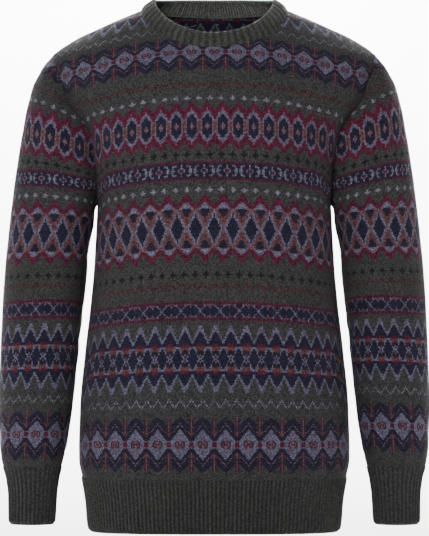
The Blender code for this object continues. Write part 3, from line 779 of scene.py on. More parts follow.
def rib_grids(ring_at, ribs, rows, seam, edge):
    """Outer and inner grid of a ribbed edge, and its stitches. Ridges run out at both ends."""
    count = ribs * POINTS_PER_RIB
    profile = rib_profile(count + 1, POINTS_PER_RIB) * RIB_HEIGHT
    heights = np.linspace(seam - HALF_GAP, edge, rows)
    grids = [], []
    for height in heights:
        points, outward = ring_at(height, count + 1)
        ends = ease_in((height - edge) / RIB_RUN_OUT) * ease_in((seam - height) / RIB_RUN_OUT)
        lift = profile * (RIB_LEAST + (1 - RIB_LEAST) * ends)
        round_off = (1 - ease_in((height - edge) / ROUND_FROM)) * EDGE_ROUND
        grids[OUTER].append(points + outward * (lift - round_off)[:, None])
        grids[INNER].append(points - outward * (RIB_WALL - BACK_RIB * lift - round_off)[:, None])
    across = np.arange(count + 1) / POINTS_PER_RIB * RIB_STITCHES
    stitches = np.stack(np.meshgrid(across, -heights / RIB_COURSE), axis=-1)
    return np.array(grids[OUTER]), np.array(grids[INNER]), stitches


def make_hem(side):
    """The rib along the lower edge of a panel."""
    facing = FACING[side]

    def ring_at(height, count):
        shares = np.linspace(-1, 1, count)
        x = along_ring(side, height, np.abs(shares)) * np.sign(shares)
        depth, _ = plain_y(side, x, np.full_like(x, height))
        down = (HEM_SEAM - height) / (HEM_SEAM - HEM_EDGE)
        points = np.stack([x, facing * depth, height - HEM_SIDE_DROP * down * shares**2], axis=-1)
        points[[0, -1], 1] = 0
        tangent = np.gradient(points, axis=0)
        outward = unit(np.stack([facing * -tangent[:, 1], facing * tangent[:, 0], 0 * x], axis=-1))
        outward[0], outward[-1] = (-1, 0, 0), (1, 0, 0)
        return points, outward

    outer, inner, stitches = rib_grids(ring_at, HEM_RIBS, HEM_ROWS, HEM_SEAM, HEM_EDGE)
    outer[:, [0, -1], 1] = inner[:, [0, -1], 1] = facing * HALF_GAP
    return cloth("hem_rib_" + side, outer, inner, stitches, False)


def cuff_ring(height, count):
    """Points and outward directions round a cuff, +X side."""
    turn = math.pi + np.linspace(0, 2 * math.pi, count)
    at = {key: read(CUFF, key, height) for key in CUFF}
    middle, half = (at["outer_x"] + at["inner_x"]) / 2, (at["outer_x"] - at["inner_x"]) / 2
    x, y = middle + half * np.cos(turn), at["middle_y"] - at["deep"] * np.sin(turn)
    across = np.stack([np.cos(turn) / half, -np.sin(turn) / at["deep"], 0 * turn], axis=-1)
    return np.stack([x, y, np.full(count, height)], axis=-1), unit(across)


def make_cuff(name, way):
    """The rib at the end of a sleeve."""
    outer, inner, stitches = rib_grids(cuff_ring, CUFF_RIBS, CUFF_ROWS, CUFF_SEAM, CUFF_EDGE)
    return cloth("cuff_" + name, outer * flip(way), inner * flip(way), stitches, True)


hems = {side: make_hem(side) for side in FACING}
cuffs = {name: make_cuff(name, way) for name, way in SLEEVE_WAYS.items()}
print("ribs:", 2 * HEM_RIBS, "round the hem,", CUFF_RIBS, "round each cuff")

# %% [markdown]
# ## Neckband
#
# The neckband is knitted double, folded over and linked to the neck seam, so it is thicker than the
# rest and has a round free edge. Its ribs fan in from the seam to the smaller free edge. One closed
# ring of cross-sections gives the fold, the ridges outside and the ridges that show inside at the
# back of the neck. A thickened strip would be simpler, but its edge would be sharp, not folded.

# %% The neckband
BAND_WALL = 4.0 * MM
BAND_HALF, BAND_TOP = 82 * MM, 32 * MM
BAND_DROP = {FRONT: 52.5 * MM, BACK: -7.5 * MM}
BAND_REACH = {FRONT: 71 * MM, BACK: 72 * MM}
BAND_DIP = 1.2
BAND_RIBS, BAND_POINTS_PER_RIB = 60, 8
BAND_STITCHES = 5
BAND_RIB_HEIGHT = 0.9 * MM
BAND_LEVELS = ((0.3, 2.2 * MM), (0.65, 1.8 * MM), (0.92, 0.6 * MM))
BAND_CROWN = 1.03
BAND_STEPS = 4
RIDGE_AT_FOLD, FOLD_STEPS, SEAM_STEPS = 0.55, 4.0, 3.0
JUST_INSIDE = 0.999


def neck_points(side, share):
    """Points of the neck seam of a panel, by the share of the half neck (-1 to 1)."""
    turn = share * math.pi / 2
    x = NECK_HALF * np.sin(turn)
    z = NECK_TOP - NECK_DROP[side] * np.abs(np.cos(turn))
    depth, _ = plain_y(side, x, z)
    y = FACING[side] * np.where(np.abs(share) > 1 - TINY, 0, depth)
    return np.stack([x, y, z], axis=-1)


def neck_normal(side, share):
    """Direction square to a panel at its neck seam."""
    x, _, z = neck_points(side, share * JUST_INSIDE).T
    by_x = (plain_y(side, x + MM, z)[0] - plain_y(side, x - MM, z)[0]) / (2 * MM)
    by_z = (plain_y(side, x, z + MM)[0] - plain_y(side, x, z - MM)[0]) / (2 * MM)
    return unit(np.stack([-by_x, np.full_like(x, FACING[side]), -by_z], axis=-1))


def band_edge(side, share):
    """Free edge of the neckband."""
    turn = share * math.pi / 2
    dip = np.abs(np.cos(turn))
    height = BAND_TOP - BAND_DROP[side] * dip**BAND_DIP
    return np.stack([BAND_HALF * np.sin(turn), FACING[side] * BAND_REACH[side] * dip, height], axis=-1)


def flowing_line(knots, steps):
    """A smooth closed line through a ring of points, with steps points for each of them."""
    a, b, c, d = (np.roll(knots, k, 0) for k in (1, 0, -1, -2))
    lines = []
    for t in np.arange(steps) / steps:
        mid = (c - a) * t + (2 * a - 5 * b + 4 * c - d) * t**2 + (3 * b - a - 3 * c + d) * t**3
        lines.append(b + mid / 2)
    return np.stack(lines, axis=1).reshape(-1, *knots.shape[1:])


def make_neckband():
    """The double rib round the neck, and the line where its inside meets the jumper."""
    count = BAND_RIBS * BAND_POINTS_PER_RIB
    half = np.linspace(-1, 1, count // 2 + 1)[:-1]
    parts = (neck_points, band_edge, neck_normal)
    seam, free, skin = (np.concatenate([part(BACK, -half), part(FRONT, half)]) for part in parts)
    tangent = unit(np.roll(seam, -1, axis=0) - np.roll(seam, 1, axis=0))
    span = free - seam
    outward = unit(np.cross(tangent, unit(span)))
    inward = -unit(skin + outward)
    inward = unit(inward - np.sum(inward * tangent, axis=-1, keepdims=True) * tangent)
    across = unit(np.cross(inward, tangent))
    across *= np.sign(np.sum(across * span, axis=-1, keepdims=True))
    start = seam + across * HALF_GAP
    inner_seam = start + inward * WALL
    knots = [start + span * level + outward * bulge for level, bulge in BAND_LEVELS]
    back = [start + span * level + outward * (bulge - BAND_WALL) for level, bulge in BAND_LEVELS[::-1]]
    fold = seam + span * BAND_CROWN - outward * BAND_WALL / 2
    lines = flowing_line(np.array([start, *knots, fold, *back, inner_seam]), BAND_STEPS)
    lines = lines[: -BAND_STEPS + 1]
    crown = (1 + len(BAND_LEVELS)) * BAND_STEPS
    from_crown = np.arange(len(lines)) - crown
    step = np.abs(from_crown)
    strength = RIDGE_AT_FOLD + (1 - RIDGE_AT_FOLD) * ease_in(step / FOLD_STEPS)
    strength *= ease_in((crown - step) / SEAM_STEPS) * np.where(from_crown > 0, -1, 1)
    profile = rib_profile(count, BAND_POINTS_PER_RIB) * BAND_RIB_HEIGHT
    lines = lines + outward * (profile * strength[:, None])[..., None]
    lines = np.concatenate([lines, lines[:, :1]], axis=1)
    u = np.arange(count + 1) / BAND_POINTS_PER_RIB * BAND_STITCHES
    v = running_length(lines[:, 0]) / RIB_COURSE
    return ring("neckband", lines, u, v, crown), inner_seam


neckband, band_seam = make_neckband()
print("neckband: free edge", round(2 * BAND_HALF / MM), "mm across")

# %% [markdown]
# ## The linking chain
#
# The neckband is joined to the jumper by a row of chain stitches. From the front it is hidden, but
# it shows inside the back of the neck as a pale line. It is made as a thin strand that swells and
# pinches with every chain stitch. Real loops of yarn would look no different at this size.

# %% The chain inside the back neck
CHAIN_RADIUS, CHAIN_PINCH = 0.75 * MM, 0.72
CHAIN_LINKS, CHAIN_POINTS_PER_LINK, CHAIN_SIDES = 96, 5, 7
NECK_MIDDLE = np.array([0, 0, -20 * MM])


def make_chain():
    """A strand along the inner edge of the neck seam, right round the neck."""
    closed = np.concatenate([band_seam, band_seam[:1]])
    run = running_length(closed)
    count = CHAIN_LINKS * CHAIN_POINTS_PER_LINK
    at = np.linspace(0, run[-1], count, endpoint=False)
    line = np.stack([np.interp(at, run, closed[:, k]) for k in range(3)], axis=-1)
    tangent = unit(np.roll(line, -1, axis=0) - np.roll(line, 1, axis=0))
    side_way = unit(np.cross(tangent, unit(NECK_MIDDLE - line)))
    into = np.cross(side_way, tangent)
    turn = np.linspace(0, 2 * math.pi, CHAIN_SIDES + 1)
    links = np.arange(count) / CHAIN_POINTS_PER_LINK
    swell = CHAIN_RADIUS * (CHAIN_PINCH + (1 - CHAIN_PINCH) * np.abs(np.sin(links * math.pi)))
    around = side_way[:, None] * np.cos(turn)[:, None] + into[:, None] * np.sin(turn)[:, None]
    points = (line + into * CHAIN_RADIUS / 2)[:, None] + around * swell[:, None, None]
    return ring("linking_chain", points, turn, links, count)


linking_chain = make_chain()
print("linking chain:", CHAIN_LINKS, "stitches")

# %% [markdown]
# ## The yarns
#
# A fair isle jumper looks rich because a few quiet colours meet in many pairs. The ground is a dark
# olive grey, and the bands set pale lilac and pinks against navy, plum and berry. The colours are
# linear, as Blender's sockets take them.

# %% The yarns
YARNS = {
    ".": ("ground", (0.0256, 0.0263, 0.0266)),
    "n": ("navy", (0.0082, 0.0073, 0.0200)),
    "p": ("plum", (0.0180, 0.0085, 0.0185)),
    "b": ("berry", (0.0510, 0.0044, 0.0188)),
    "l": ("lilac", (0.0660, 0.0620, 0.0980)),
    "k": ("dusty pink", (0.0780, 0.0500, 0.0660)),
    "t": ("terracotta", (0.0640, 0.0270, 0.0300)),
    "o": ("brick", (0.0560, 0.0070, 0.0110)),
    "d": ("bottle green", (0.0060, 0.0066, 0.0070)),
    "m": ("mauve", (0.0600, 0.0290, 0.0360)),
    "r": ("dark red", (0.0400, 0.0105, 0.0150)),
    "w": ("pale grey", (0.1050, 0.1120, 0.1300)),
    "x": ("brown", (0.0150, 0.0090, 0.0110)),
    "a": ("rose", (0.0780, 0.0460, 0.0520)),
    "s": ("rust", (0.0570, 0.0230, 0.0220)),
}
YARN_NUMBER = {letter: index for index, letter in enumerate(YARNS)}
print("yarns:", len(YARNS))

# %% [markdown]
# ## The charts
#
# These are traditional fair isle bands, charted one by one. A letter is one stitch. Each band repeats
# from side to side and is the same on both sides of its middle stitch, so a row gives only the
# stitches from the middle of the motif to halfway to the next one. Most bands are also the same
# above and below their middle row, and those charts start at that row.

# %% The charts and the bands
MIRRORED, ONCE = 1, 0
# Each chart: its rows, the stitches in a repeat, and whether it is mirrored above its first row.
CHARTS = {
    "diamonds": ("""
bbkpllkbb kbkpllkbb kkbplllbb kbplllllk lkkllllnp llllllnnd llllllnnd lllllnndp lllllnnpt
llllnnppt lllnnnptt lllnnppsm llnnnpapm llnnknppm lnnnnnppm nnnknnnpm dnnnnn.pm nnknpnnbm
dknnpnnpm nndnnnpbm knnnnn.pm npnnn..bm pnnnn..pm pnnn...bm npn....pm nn.....bm n.......m
.........""", 16, MIRRORED),
    "lattice": ("""
nnnnnlk nnnnnlk nnnnllk nnnnllt nnnnlkt nnnlltt nnnlltt nnnlkto nnllkts nnlltts nlltttt
nlltttp nlkttpn nlkttpn llkttnn lkttpnn lkttnnn kttpnnn ktklpnn bbkklll bbbklwl bbbbllw
.bbblll .bbbbll ..bbbbk ...bbbb ...bbbb ....bbb ....bbb .....bb .....bb ......b .......""", 13, MIRRORED),
    "hexagons": ("""
kkpnat kkpnat kpnnat knnnat pnnnat nnnnkk nnnnlk nnnnlb nnnllb nnllkb nnllbb nllkbb lllkbb
llkbbb lkbbbb kbbbbb kbbbb. kbbbb. bbbb.. bbb... bbb... bb.... b..... b..... ......""", 11, MIRRORED),
    "teeth": ("""
wlnnnn nlnnnn nllnnn lnknnn knnnnn nnnlnn xxplnn xxxlnn xttlln tttkln tttkll otokll roobnn
bbbpnn pbpnnn nnnnnl nnnnnl nnnnnl nnnnll nnnnl. nnnll. nnnlk. nnnl.. nnll.. nnll.. nll...
lll... lll... lll... ll.... ll.... lk.... ......""", 11, MIRRORED),
    "flowers": ("""
bblnnllwn bplnnnwln lknnnnlln lnnnnnlnn lnnnklwnn wnnnkknnn npnnpnpnp pbpbpbpbp bpbpbpbpb
.b.b.b.b. .........""", 16, MIRRORED),
    "crosses": ("""
llnnnnnn lnnnnnnn nlnnnnnn nnlnnnnl pnnlnnnk pbnlkpkp bpbkpkbk pbbpbpbb bpbbpbbp b.b.b.b.
........""", 14, MIRRORED),
    "pale stars": ("wwl.. wl... w.... .....", 8, MIRRORED),
    "dark stars": ("ddd.. dd... d.... d.... .....", 8, MIRRORED),
    "red zigzag": ("..... r.... rr... .rr.. .rr.. ..rr. ...rr ....r .....", 8, ONCE),
    "pale zigzag": ("..... l.... k.... .w... .l... ..k.. ..l.. ...w. ...k. ....l .....", 8, ONCE),
}
# Each row: chart, course of its middle row, and the stitch under the middle of a motif on the
# torso, the left sleeve and the right sleeve.
BANDS = (
    ("teeth", 39, -5, 0, 0),
    ("pale zigzag", 76, 0, 0, 0),
    ("diamonds", 120, 0, 0, 0),
    ("red zigzag", 157, 0, 0, 0),
    ("pale stars", 174, -3, 0, 0),
    ("hexagons", 200, -5, 0, 6),
    ("dark stars", 227, -3, 3, 0),
    ("flowers", 242, -7, 10, 11),
    ("pale stars", 260, -3, 4, 0),
    ("lattice", 296, 0, 4, 7),
    ("dark stars", 339, -6, 2, 0),
    ("red zigzag", 346, 0, 0, 0),
    ("crosses", 373, -10, 3, 7),
    ("teeth", 418, 1, 7, -1),
    ("pale zigzag", 455, 0, 5, 0),
    ("diamonds", 499, -8, 8, 0),
)
PATTERNED = ("torso", "left sleeve", "right sleeve")
print("bands:", len(BANDS), "charts:", len(CHARTS))

# %% [markdown]
# ## Putting a chart into nodes
#
# The material has to find the colour of any stitch with nodes alone. A row of a half chart has at
# most nine letters. There is room for sixteen yarns, so five letters fit into one number, like the
# digits of a number written in base sixteen. Two such numbers give a row: one goes in the red
# and one in the green channel of a colour ramp with hard steps, 32 rows to a ramp. The nodes then
# read the right row and take out the right digit. An image would be simpler, but this stays sharp
# at any distance and every stitch of it can be changed in the text above.

# %% Packing the charts
RAMP_ROWS = 32
DIGITS, YARN_SLOTS = 5, 16


def pack_row(letters):
    """The two numbers of a chart row, each below 1, with five base-16 digits."""
    digits = [YARN_NUMBER[letter] for letter in letters] + [0] * (2 * DIGITS - len(letters))
    halves = digits[:DIGITS], digits[DIGITS:]
    return [sum(digit / YARN_SLOTS ** (k + 1) for k, digit in enumerate(half)) for half in halves]


chart_rows, chart_start, chart_size = [], {}, {}
for name, (text, period, _) in CHARTS.items():
    rows = text.split()
    assert all(len(row) == period // 2 + 1 for row in rows), name
    chart_start[name], chart_size[name] = len(chart_rows), len(rows)
    chart_rows += [pack_row(row) for row in rows]
print("chart rows:", len(chart_rows), "in", math.ceil(len(chart_rows) / RAMP_ROWS), "ramps")

# %% [markdown]
# ## Wiring nodes with less writing
#
# A material made of nodes can be drawn by hand in the shader editor, but a chart needs dozens of
# small sums. These helpers each add one node, join it up and hand back its output.

# %% Small helpers for nodes
class Wiring:
    """Adds nodes to one material and joins them."""

    def __init__(self, name):
        self.material = bpy.data.materials.new(name)
        self.material.use_nodes = True
        self.tree = self.material.node_tree
        self.shader = self.tree.nodes["Principled BSDF"]

    def add(self, kind, **settings):
        node = self.tree.nodes.new(kind)
        for key, value in settings.items():
            setattr(node, key, value)
        return node

    def join(self, value, socket):
        if isinstance(value, bpy.types.NodeSocket):
            self.tree.links.new(value, socket)
        else:
            socket.default_value = value

    def feed(self, node, *values):
        for value, socket in zip(values, node.inputs):
            self.join(value, socket)
        return node.outputs[0]

    def do(self, operation, *values):
        return self.feed(self.add("ShaderNodeMath", operation=operation), *values)

    def line(self, value, times, plus):
        return self.do("MULTIPLY_ADD", value, times, plus)

    def whole(self, value, times):
        return self.do("ROUND", self.do("MULTIPLY", value, times))

    def point(self, x, y, z=0.0):
        return self.feed(self.add("ShaderNodeCombineXYZ"), x, y, z)

    def mix(self, share, first, second, blend="MIX"):
        node = self.add("ShaderNodeMix", data_type="RGBA", blend_type=blend)
        for value, number in ((share, 0), (first, 6), (second, 7)):
            self.join(value, node.inputs[number])
        return node.outputs[2]

    def dim(self, colour, light):
        return self.mix(1.0, colour, self.point(light, light, light), "MULTIPLY")

    def steps(self, at, stops):
        """A ramp with hard steps: stops are (place, colour with alpha)."""
        node = self.add("ShaderNodeValToRGB")
        ramp = node.color_ramp
        ramp.interpolation = "CONSTANT"
        ramp.elements.remove(ramp.elements[1])
        for index, (place, colour) in enumerate(stops):
            stop = ramp.elements[0] if index == 0 else ramp.elements.new(place)
            stop.position = place
            stop.color = colour
        self.join(at, node.inputs[0])
        return node.outputs[0], node.outputs[1]

    def split(self, colour):
        node = self.add("ShaderNodeSeparateColor")
        self.join(colour, node.inputs[0])
        return node.outputs[:3]

    def noise(self, vector, scale, detail):
        node = self.add("ShaderNodeTexNoise")
        for key, value in (("Vector", vector), ("Scale", scale), ("Detail", detail)):
            self.join(value, node.inputs[key])
        return node.outputs[0]

    def stitch_map(self):
        """The stitches map, and its two numbers."""
        place = self.add("ShaderNodeUVMap", uv_map="stitches").outputs[0]
        parts = self.add("ShaderNodeSeparateXYZ")
        self.join(place, parts.inputs[0])
        return place, parts.outputs[0], parts.outputs[1]


print("helpers:", len([name for name in vars(Wiring) if name[0] != "_"]))

# %% [markdown]
# ## One stitch
#
# A plain stitch looks like a small V: two legs that lean out as they rise. The middle of a V hangs
# half a course lower than its tips, and the same half course has to shift the colour, or the
# edges of the pattern would look like a printed grid. The height of the legs goes to a Bump node.

# %% The stitch and its colour as nodes
COURSES_IN_RAMP = 544
LEG_END_DROP, LEG_END_POWER = 0.6, 3
ROUNDING_ROOM = 0.01
# The largest numbers that a channel of a ramp has to hold.
MOST_COURSES, MOST_CHART_ROWS, MOST_STITCHES, MOST_ROWS = 1024, 256, 32, 64


def stitch_nodes(w):
    """Stitch number, course number and height of the V, from the stitches map."""
    _, u, v = w.stitch_map()
    shifted = w.do("ADD", u, 0.5)
    from_middle = w.do("ABSOLUTE", w.do("SUBTRACT", w.do("FRACT", shifted), 0.5))
    lean = w.do("ADD", v, from_middle)
    leg = w.do("ABSOLUTE", w.line(from_middle, 4, -1))
    across = w.do("SUBTRACT", 1, w.do("MULTIPLY", leg, leg))
    down = w.do("ABSOLUTE", w.line(w.do("FRACT", lean), 2, -1))
    along = w.line(w.do("POWER", down, LEG_END_POWER), -LEG_END_DROP, 1)
    return w.do("FLOOR", shifted), w.do("FLOOR", lean), w.do("MULTIPLY", across, along)


def chart_colour(w, stitch, course, part):
    """Colour of the yarn of a stitch, from the packed charts."""
    facts, more = [], []
    for name, middle, *motifs in BANDS:
        _, repeat, mirrored = CHARTS[name]
        above = chart_size[name] if mirrored else 1
        place = (middle - above) / COURSES_IN_RAMP if facts else 0.0
        start, size = chart_start[name] / MOST_CHART_ROWS, chart_size[name] / MOST_ROWS
        facts.append((place, (middle / MOST_COURSES, start, repeat / MOST_STITCHES, size)))
        more.append((place, (motifs[part] % repeat / MOST_STITCHES, mirrored, 0, 1)))
    where = w.do("DIVIDE", w.do("ADD", course, 0.5), COURSES_IN_RAMP)
    colour, alpha = w.steps(where, facts)
    red, green, blue = w.split(colour)
    middle, start = w.whole(red, MOST_COURSES), w.whole(green, MOST_CHART_ROWS)
    repeat, size = w.whole(blue, MOST_STITCHES), w.whole(alpha, MOST_ROWS)
    motif, mirrored, _ = w.split(w.steps(where, more)[0])
    motif = w.whole(motif, MOST_STITCHES)
    in_repeat = w.do("ROUND", w.do("FLOORED_MODULO", w.do("SUBTRACT", stitch, motif), repeat))
    column = w.do("MINIMUM", in_repeat, w.do("SUBTRACT", repeat, in_repeat))
    off = w.do("SUBTRACT", course, middle)
    folded = w.do("MAXIMUM", off, w.do("MULTIPLY", w.do("MULTIPLY", off, mirrored), -1))
    row = w.do("MINIMUM", w.do("MAXIMUM", folded, 0), w.do("SUBTRACT", size, 1))
    chart_row = w.do("ADD", start, row)
    pair = None
    for first in range(0, len(chart_rows), RAMP_ROWS):
        rows = chart_rows[first : first + RAMP_ROWS]
        stops = [(k / RAMP_ROWS, (*row_pair, 0, 1)) for k, row_pair in enumerate(rows)]
        at = w.do("DIVIDE", w.do("ADD", chart_row, 0.5 - first), RAMP_ROWS)
        found, _ = w.steps(at, stops)
        pair = w.mix(w.do("GREATER_THAN", chart_row, first - 0.5), pair, found) if first else found
    near, far, _ = w.split(pair)
    is_far = w.do("GREATER_THAN", column, DIGITS - 0.5)
    number = w.do("ADD", near, w.do("MULTIPLY", w.do("SUBTRACT", far, near), is_far))
    digit_place = w.do("ADD", w.do("SUBTRACT", column, w.do("MULTIPLY", is_far, DIGITS)), 1)
    power = w.do("ROUND", w.do("POWER", YARN_SLOTS, digit_place))
    digits = w.do("FLOOR", w.do("ADD", w.do("MULTIPLY", number, power), ROUNDING_ROOM))
    digit = w.do("ROUND", w.do("FLOORED_MODULO", digits, YARN_SLOTS))
    at = w.do("DIVIDE", w.do("ADD", digit, 0.5), YARN_SLOTS)
    stops = [(k / YARN_SLOTS, (*colour, 1)) for k, (_, colour) in enumerate(YARNS.values())]
    return w.steps(at, stops)[0]


print("courses in the charts' ramp:", COURSES_IN_RAMP)

# %% [markdown]
# ## The wool
#
# Wool yarn is heathered: fibres of several shades are spun together. Each stitch is therefore a
# little lighter or darker than the next, the ground has olive and grey flecks, and a faint sheen
# stands for the fine hairs that catch light at the edges. On the wrong side of the pattern, strands
# of the yarn that is not in use lie across the stitches. Shade is painted into the colour in the
# gaps between stitches, between their columns and in the sunken purl columns of the ribs. The
# inside of the neckband is its own yarn painted lighter, as painted light.

# %% Wool finishes
WOOL_ROUGHNESS, WOOL_SPECULAR = 0.92, 0.15
WOOL_SHEEN, SHEEN_ROUGHNESS, SHEEN_TINT = 0.015, 0.5, (0.75, 0.76, 0.80, 1)
BUMP_STRENGTH, BUMP_HEIGHT = 0.6, 0.55 * MM
# Painted shade: how much darker the colour is in the grooves between the columns of stitches.
WALE_GAP_SHADE = 0.28
# Light in the gaps between stitches: how much the height of a leg adds, and what is left in a gap.
GAP_LIGHT = {"pattern": (0.55, 0.62), "rib": (0.5, 0.7)}
FLECKS = ((0.84, 1.02, 0.82, 1), (1.16, 0.98, 1.10, 1))
FLECK_SIZE, FLECK_DETAIL = 3.1, 3.0
HEATHER = {"pattern": 1.15, "floats": 0.5, "rib": 1.0}
# Strands on the wrong side: stretch along and across, a place of their own, and where they start.
DARK_STRANDS, DARK_SHARE = (0.16, 2.7, 0.0, 0.52), 0.55
PALE_STRANDS, PALE_STRAND = (0.2, 1.9, 7.0, 0.68), (0.10, 0.10, 0.14, 1)
STRAND_SIZE, STRAND_DETAIL = 1.0, 1.0
RIB_GREEN = (0.0310, 0.0310, 0.0312)
# Each rib yarn: colour, the stitches in one rib, and how much shade is painted into the sunken purl
# columns.
RIB_YARNS = {
    "green rib": (RIB_GREEN, RIB_STITCHES, 0.5),
    "cuff rib": (RIB_GREEN, RIB_STITCHES, 0.5),
    "neckband rib": ((0.0345, 0.0350, 0.0330), BAND_STITCHES, 0.45),
    # Painted light: the inside of the neckband is the same yarn as its outside, painted about two and a
    # half times lighter.
    "neckband rib, inside, painted lighter": ((0.086, 0.087, 0.084), 2, 0.55),
    "linking yarn": ((0.10, 0.11, 0.10), 1, 0.3),
}


def heather(w, colour, stitch, course, strength):
    """The yarn's colour varied from stitch to stitch, with small flecks."""
    random = w.add("ShaderNodeTexWhiteNoise", noise_dimensions="2D")
    w.join(w.point(stitch, course), random.inputs["Vector"])
    fleck = w.mix(w.noise(w.stitch_map()[0], FLECK_SIZE, FLECK_DETAIL), *FLECKS)
    light = w.line(random.outputs[0], strength, 1 - strength / 2)
    return w.dim(w.mix(1.0, colour, fleck, "MULTIPLY"), light)


def columns_wave(w, stitches):
    """A wave across the columns that repeats after some stitches."""
    return w.do("COSINE", w.do("MULTIPLY", w.stitch_map()[1], 2 * math.pi / stitches))


def finish_wool(w, colour, height):
    """Joins a colour and a height to the shader."""
    values = {
        "Base Color": colour,
        "Roughness": WOOL_ROUGHNESS,
        "Specular IOR Level": WOOL_SPECULAR,
        "Sheen Weight": WOOL_SHEEN,
        "Sheen Roughness": SHEEN_ROUGHNESS,
        "Sheen Tint": SHEEN_TINT,
    }
    for key, value in values.items():
        w.join(value, w.shader.inputs[key])
    relief = w.add("ShaderNodeBump")
    for key, value in (("Strength", BUMP_STRENGTH), ("Distance", BUMP_HEIGHT), ("Height", height)):
        w.join(value, relief.inputs[key])
    w.join(relief.outputs[0], w.shader.inputs["Normal"])
    return w.material


def pattern_knit(name, part):
    """The right side of the fair isle knit. Shade is painted into the gaps between its stitches and its
    columns.
    """
    w = Wiring(name)
    stitch, course, height = stitch_nodes(w)
    colour = heather(w, chart_colour(w, stitch, course, part), stitch, course, HEATHER["pattern"])
    light = w.line(height, *GAP_LIGHT["pattern"])
    # Painted shade in the grooves between the columns of stitches.
    light = w.do("MULTIPLY", light, w.line(columns_wave(w, 1), WALE_GAP_SHADE, 1))
    return finish_wool(w, w.dim(colour, light), height)


def pattern_floats(name, part):
    """The wrong side: the same stitches, with strands of the other yarn lying across them."""
    w = Wiring(name)
    stitch, course, height = stitch_nodes(w)

    def lying(along, across, place, most):
        stretched = w.point(w.do("MULTIPLY", stitch, along), w.do("MULTIPLY", course, across), place)
        return w.do("GREATER_THAN", w.noise(stretched, STRAND_SIZE, STRAND_DETAIL), most)

    colour = chart_colour(w, stitch, course, part)
    dark = w.do("MULTIPLY", lying(*DARK_STRANDS), DARK_SHARE)
    colour = w.mix(dark, colour, (*YARNS["n"][1], 1))
    colour = w.mix(lying(*PALE_STRANDS), colour, PALE_STRAND)
    return finish_wool(w, heather(w, colour, stitch, course, HEATHER["floats"]), height)


def plain_rib(name, colour, per_rib, deep):
    """Heathered rib of one colour, with painted shade in its sunken purl columns and in the gaps between
    stitches.
    """
    w = Wiring(name)
    stitch, course, height = stitch_nodes(w)
    shade = heather(w, (*colour, 1), stitch, course, HEATHER["rib"])
    # Painted shade: the purl columns, which sink between the ridges, are made darker.
    light = w.line(columns_wave(w, per_rib), -deep / 2, 1 - deep / 2)
    light = w.do("MULTIPLY", light, w.line(height, *GAP_LIGHT["rib"]))
    return finish_wool(w, w.dim(shade, light), height)


knits = {}
for part, title in enumerate(PATTERNED):
    right_side = pattern_knit(title + " knit, right side", part)
    knits[title] = right_side, pattern_floats(title + " knit, wrong side", part)
ribs = (plain_rib(name, *yarn) for name, yarn in RIB_YARNS.items())
hem_knit, cuff_knit, band_knit, band_inside_painted_light, chain_yarn = ribs
print("materials:", len(bpy.data.materials))

# %% [markdown]
# ## What each piece stands for
#
# The jumper has no moving parts, so every piece rides on the one body. Each sheet's row lists how
# large it would be if it were unpicked and laid flat. The cut of a panel or a sleeve is not a
# rectangle, so its area is listed too. These sizes and the finish are only listed; nothing reads them.

# %% Dress the pieces, hang them on the body and hide the solids they stand for
# Each row: piece, its finish, the solids it stands for, outer and inner material, flat size, area.
PIECES = []
for side, flat in ((FRONT, (0.535, 0.665)), (BACK, (0.555, 0.675))):
    area = sheet_area(panel_grids[side])
    PIECES.append((panels[side], "fair_isle_knit", [side + "_panel"], knits["torso"], flat, area))
for name, piece in sleeves.items():
    halves = ["sleeve_" + name + "_front", "sleeve_" + name + "_back"]
    area = sheet_area(sleeve_grids[name])
    PIECES.append((piece, "fair_isle_knit", halves, knits[name + " sleeve"], (0.42, 0.61), area))
for side, flat in ((FRONT, (0.475, 0.072)), (BACK, (0.485, 0.072))):
    PIECES.append((hems[side], "green_rib", ["hem_rib_" + side], (hem_knit, hem_knit), flat, None))
for name, piece in cuffs.items():
    PIECES.append((piece, "green_rib", ["cuff_" + name], (cuff_knit, cuff_knit), (0.205, 0.079), None))
# The neckband's inside wears the copy of its yarn that is painted lighter, as painted light.
band_materials = (band_knit, band_inside_painted_light)
PIECES.append((neckband, "neckband_rib", ["neckband"], band_materials, (0.56, 0.034), None))

for piece, finish, nodes, materials, flat, area in PIECES:
    for material in materials:
        piece.data.materials.append(material)
    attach(piece, "root")
    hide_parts(*nodes)
linking_chain.data.materials.append(chain_yarn)
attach(linking_chain, "root")
print("pieces:", len(PIECES) + 1)

# %% [markdown]
# ## A plain studio
#
# A pale sweep of paper lies behind and below. The paper is clear from its back, so that the back of
# the jumper can be looked at too. A room would show its corners, and a curved sweep has none.

# %% Floor and backdrop
FLOOR_LEVEL = -0.80
SWEEP = ((-4.0, 0.0), (1.2, 0.0), (1.8, 0.12), (2.2, 0.5), (2.3, 1.2), (2.3, 4.0))
SWEEP_HALF = 5.0
PAPER_COLOUR, PAPER_ROUGHNESS = (0.9, 0.9, 0.9, 1), 0.9

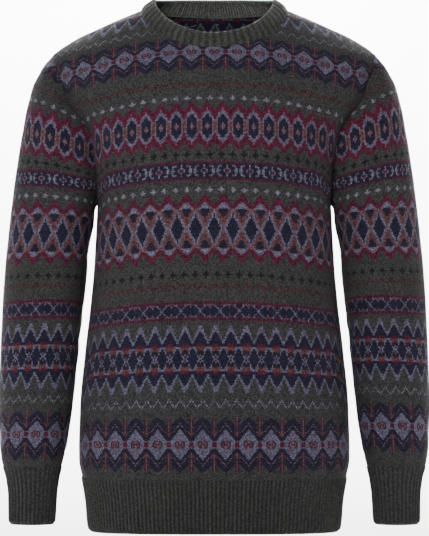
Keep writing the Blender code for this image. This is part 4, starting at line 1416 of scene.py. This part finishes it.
sweep_mesh = bpy.data.meshes.new("studio_sweep")
sweep_points = [(x * SWEEP_HALF, y, FLOOR_LEVEL + z) for y, z in SWEEP for x in (-1, 1)]
sweep_faces = [(2 * k, 2 * k + 1, 2 * k + 3, 2 * k + 2) for k in range(len(SWEEP) - 1)]
sweep_mesh.from_pydata(sweep_points, [], sweep_faces)
sweep_mesh.shade_smooth()
studio_sweep = bpy.data.objects.new("studio_sweep", sweep_mesh)
bpy.context.scene.collection.objects.link(studio_sweep)
paper = Wiring("pale paper")
paper.join(PAPER_COLOUR, paper.shader.inputs["Base Color"])
paper.join(PAPER_ROUGHNESS, paper.shader.inputs["Roughness"])
behind = paper.add("ShaderNodeNewGeometry").outputs["Backfacing"]
clear = paper.add("ShaderNodeBsdfTransparent").outputs[0]
seen = paper.feed(paper.add("ShaderNodeMixShader"), behind, paper.shader.outputs[0], clear)
paper.join(seen, paper.tree.nodes["Material Output"].inputs["Surface"])
sweep_mesh.materials.append(paper.material)
print("paper:", len(sweep_faces), "faces")

# %% [markdown]
# ## Light
#
# One wide soft light stands in front, one above and softer ones at the sides, so that the ribs and
# folds show without hard shadows. The light for the paper faces away from the jumper.

# %% Lights
# Each row: place, width and power in watts.
LIGHTS = {
    "front_softbox": ((-0.9, -3.3, 1.3), 1.1, 85),
    "top_softbox": ((-0.1, -1.5, 1.1), 0.7, 15.5),
    "side_softbox_left": ((2.6, -1.8, 0.4), 1.6, 8),
    "side_softbox_right": ((-2.9, -0.6, 0.3), 1.6, 11),
    "backdrop_light": ((0.0, 0.9, 2.0), 2.5, 1100),
}
AIM = {"backdrop_light": (0.0, 3.0, 1.9), "top_softbox": (0.0, 0.0, 0.0)}
MIDDLE = (0.0, 0.0, -0.34)
AIR_LIGHT = 0.25


def look_at(thing, target):
    """Turns a light or a camera to face a point."""
    x, y, z = (a - b for a, b in zip(target, thing.location))
    thing.rotation_euler = (math.pi / 2 + math.atan2(z, math.hypot(x, y)), 0, math.atan2(-x, y))


for name, (spot, size, watts) in LIGHTS.items():
    bpy.ops.object.light_add(type="AREA", location=spot)
    light = bpy.context.object
    light.name = name
    light.data.shape = "DISK"
    light.data.size = size
    light.data.energy = watts
    look_at(light, AIM.get(name, MIDDLE))
world = bpy.data.worlds.new("studio air")
world.use_nodes = True
world.node_tree.nodes["Background"].inputs["Color"].default_value = (1, 1, 1, 1)
world.node_tree.nodes["Background"].inputs["Strength"].default_value = AIR_LIGHT
bpy.context.scene.world = world
print("lights:", len(LIGHTS))

# %% [markdown]
# ## Camera
#
# The camera stands well back with a long lens, a little below the jumper's middle, as is usual for
# clothes: the shapes stay true and the ribs are not stretched towards the edges.

# %% Camera
CAMERA_PLACE = (0.0, -3.6, -0.42)
CAMERA_TARGET = (0.0003, 0.0, -0.3363)
FRAME_HEIGHT = 0.7327
LONG_SIDE = 36.0

bpy.ops.object.camera_add(location=CAMERA_PLACE)
camera = bpy.context.object
look_at(camera, CAMERA_TARGET)
camera.data.sensor_width = LONG_SIDE
camera.data.lens = LONG_SIDE * math.dist(CAMERA_PLACE, CAMERA_TARGET) / FRAME_HEIGHT
bpy.context.scene.camera = camera
print("lens:", round(camera.data.lens, 1), "mm")

# %% [markdown]
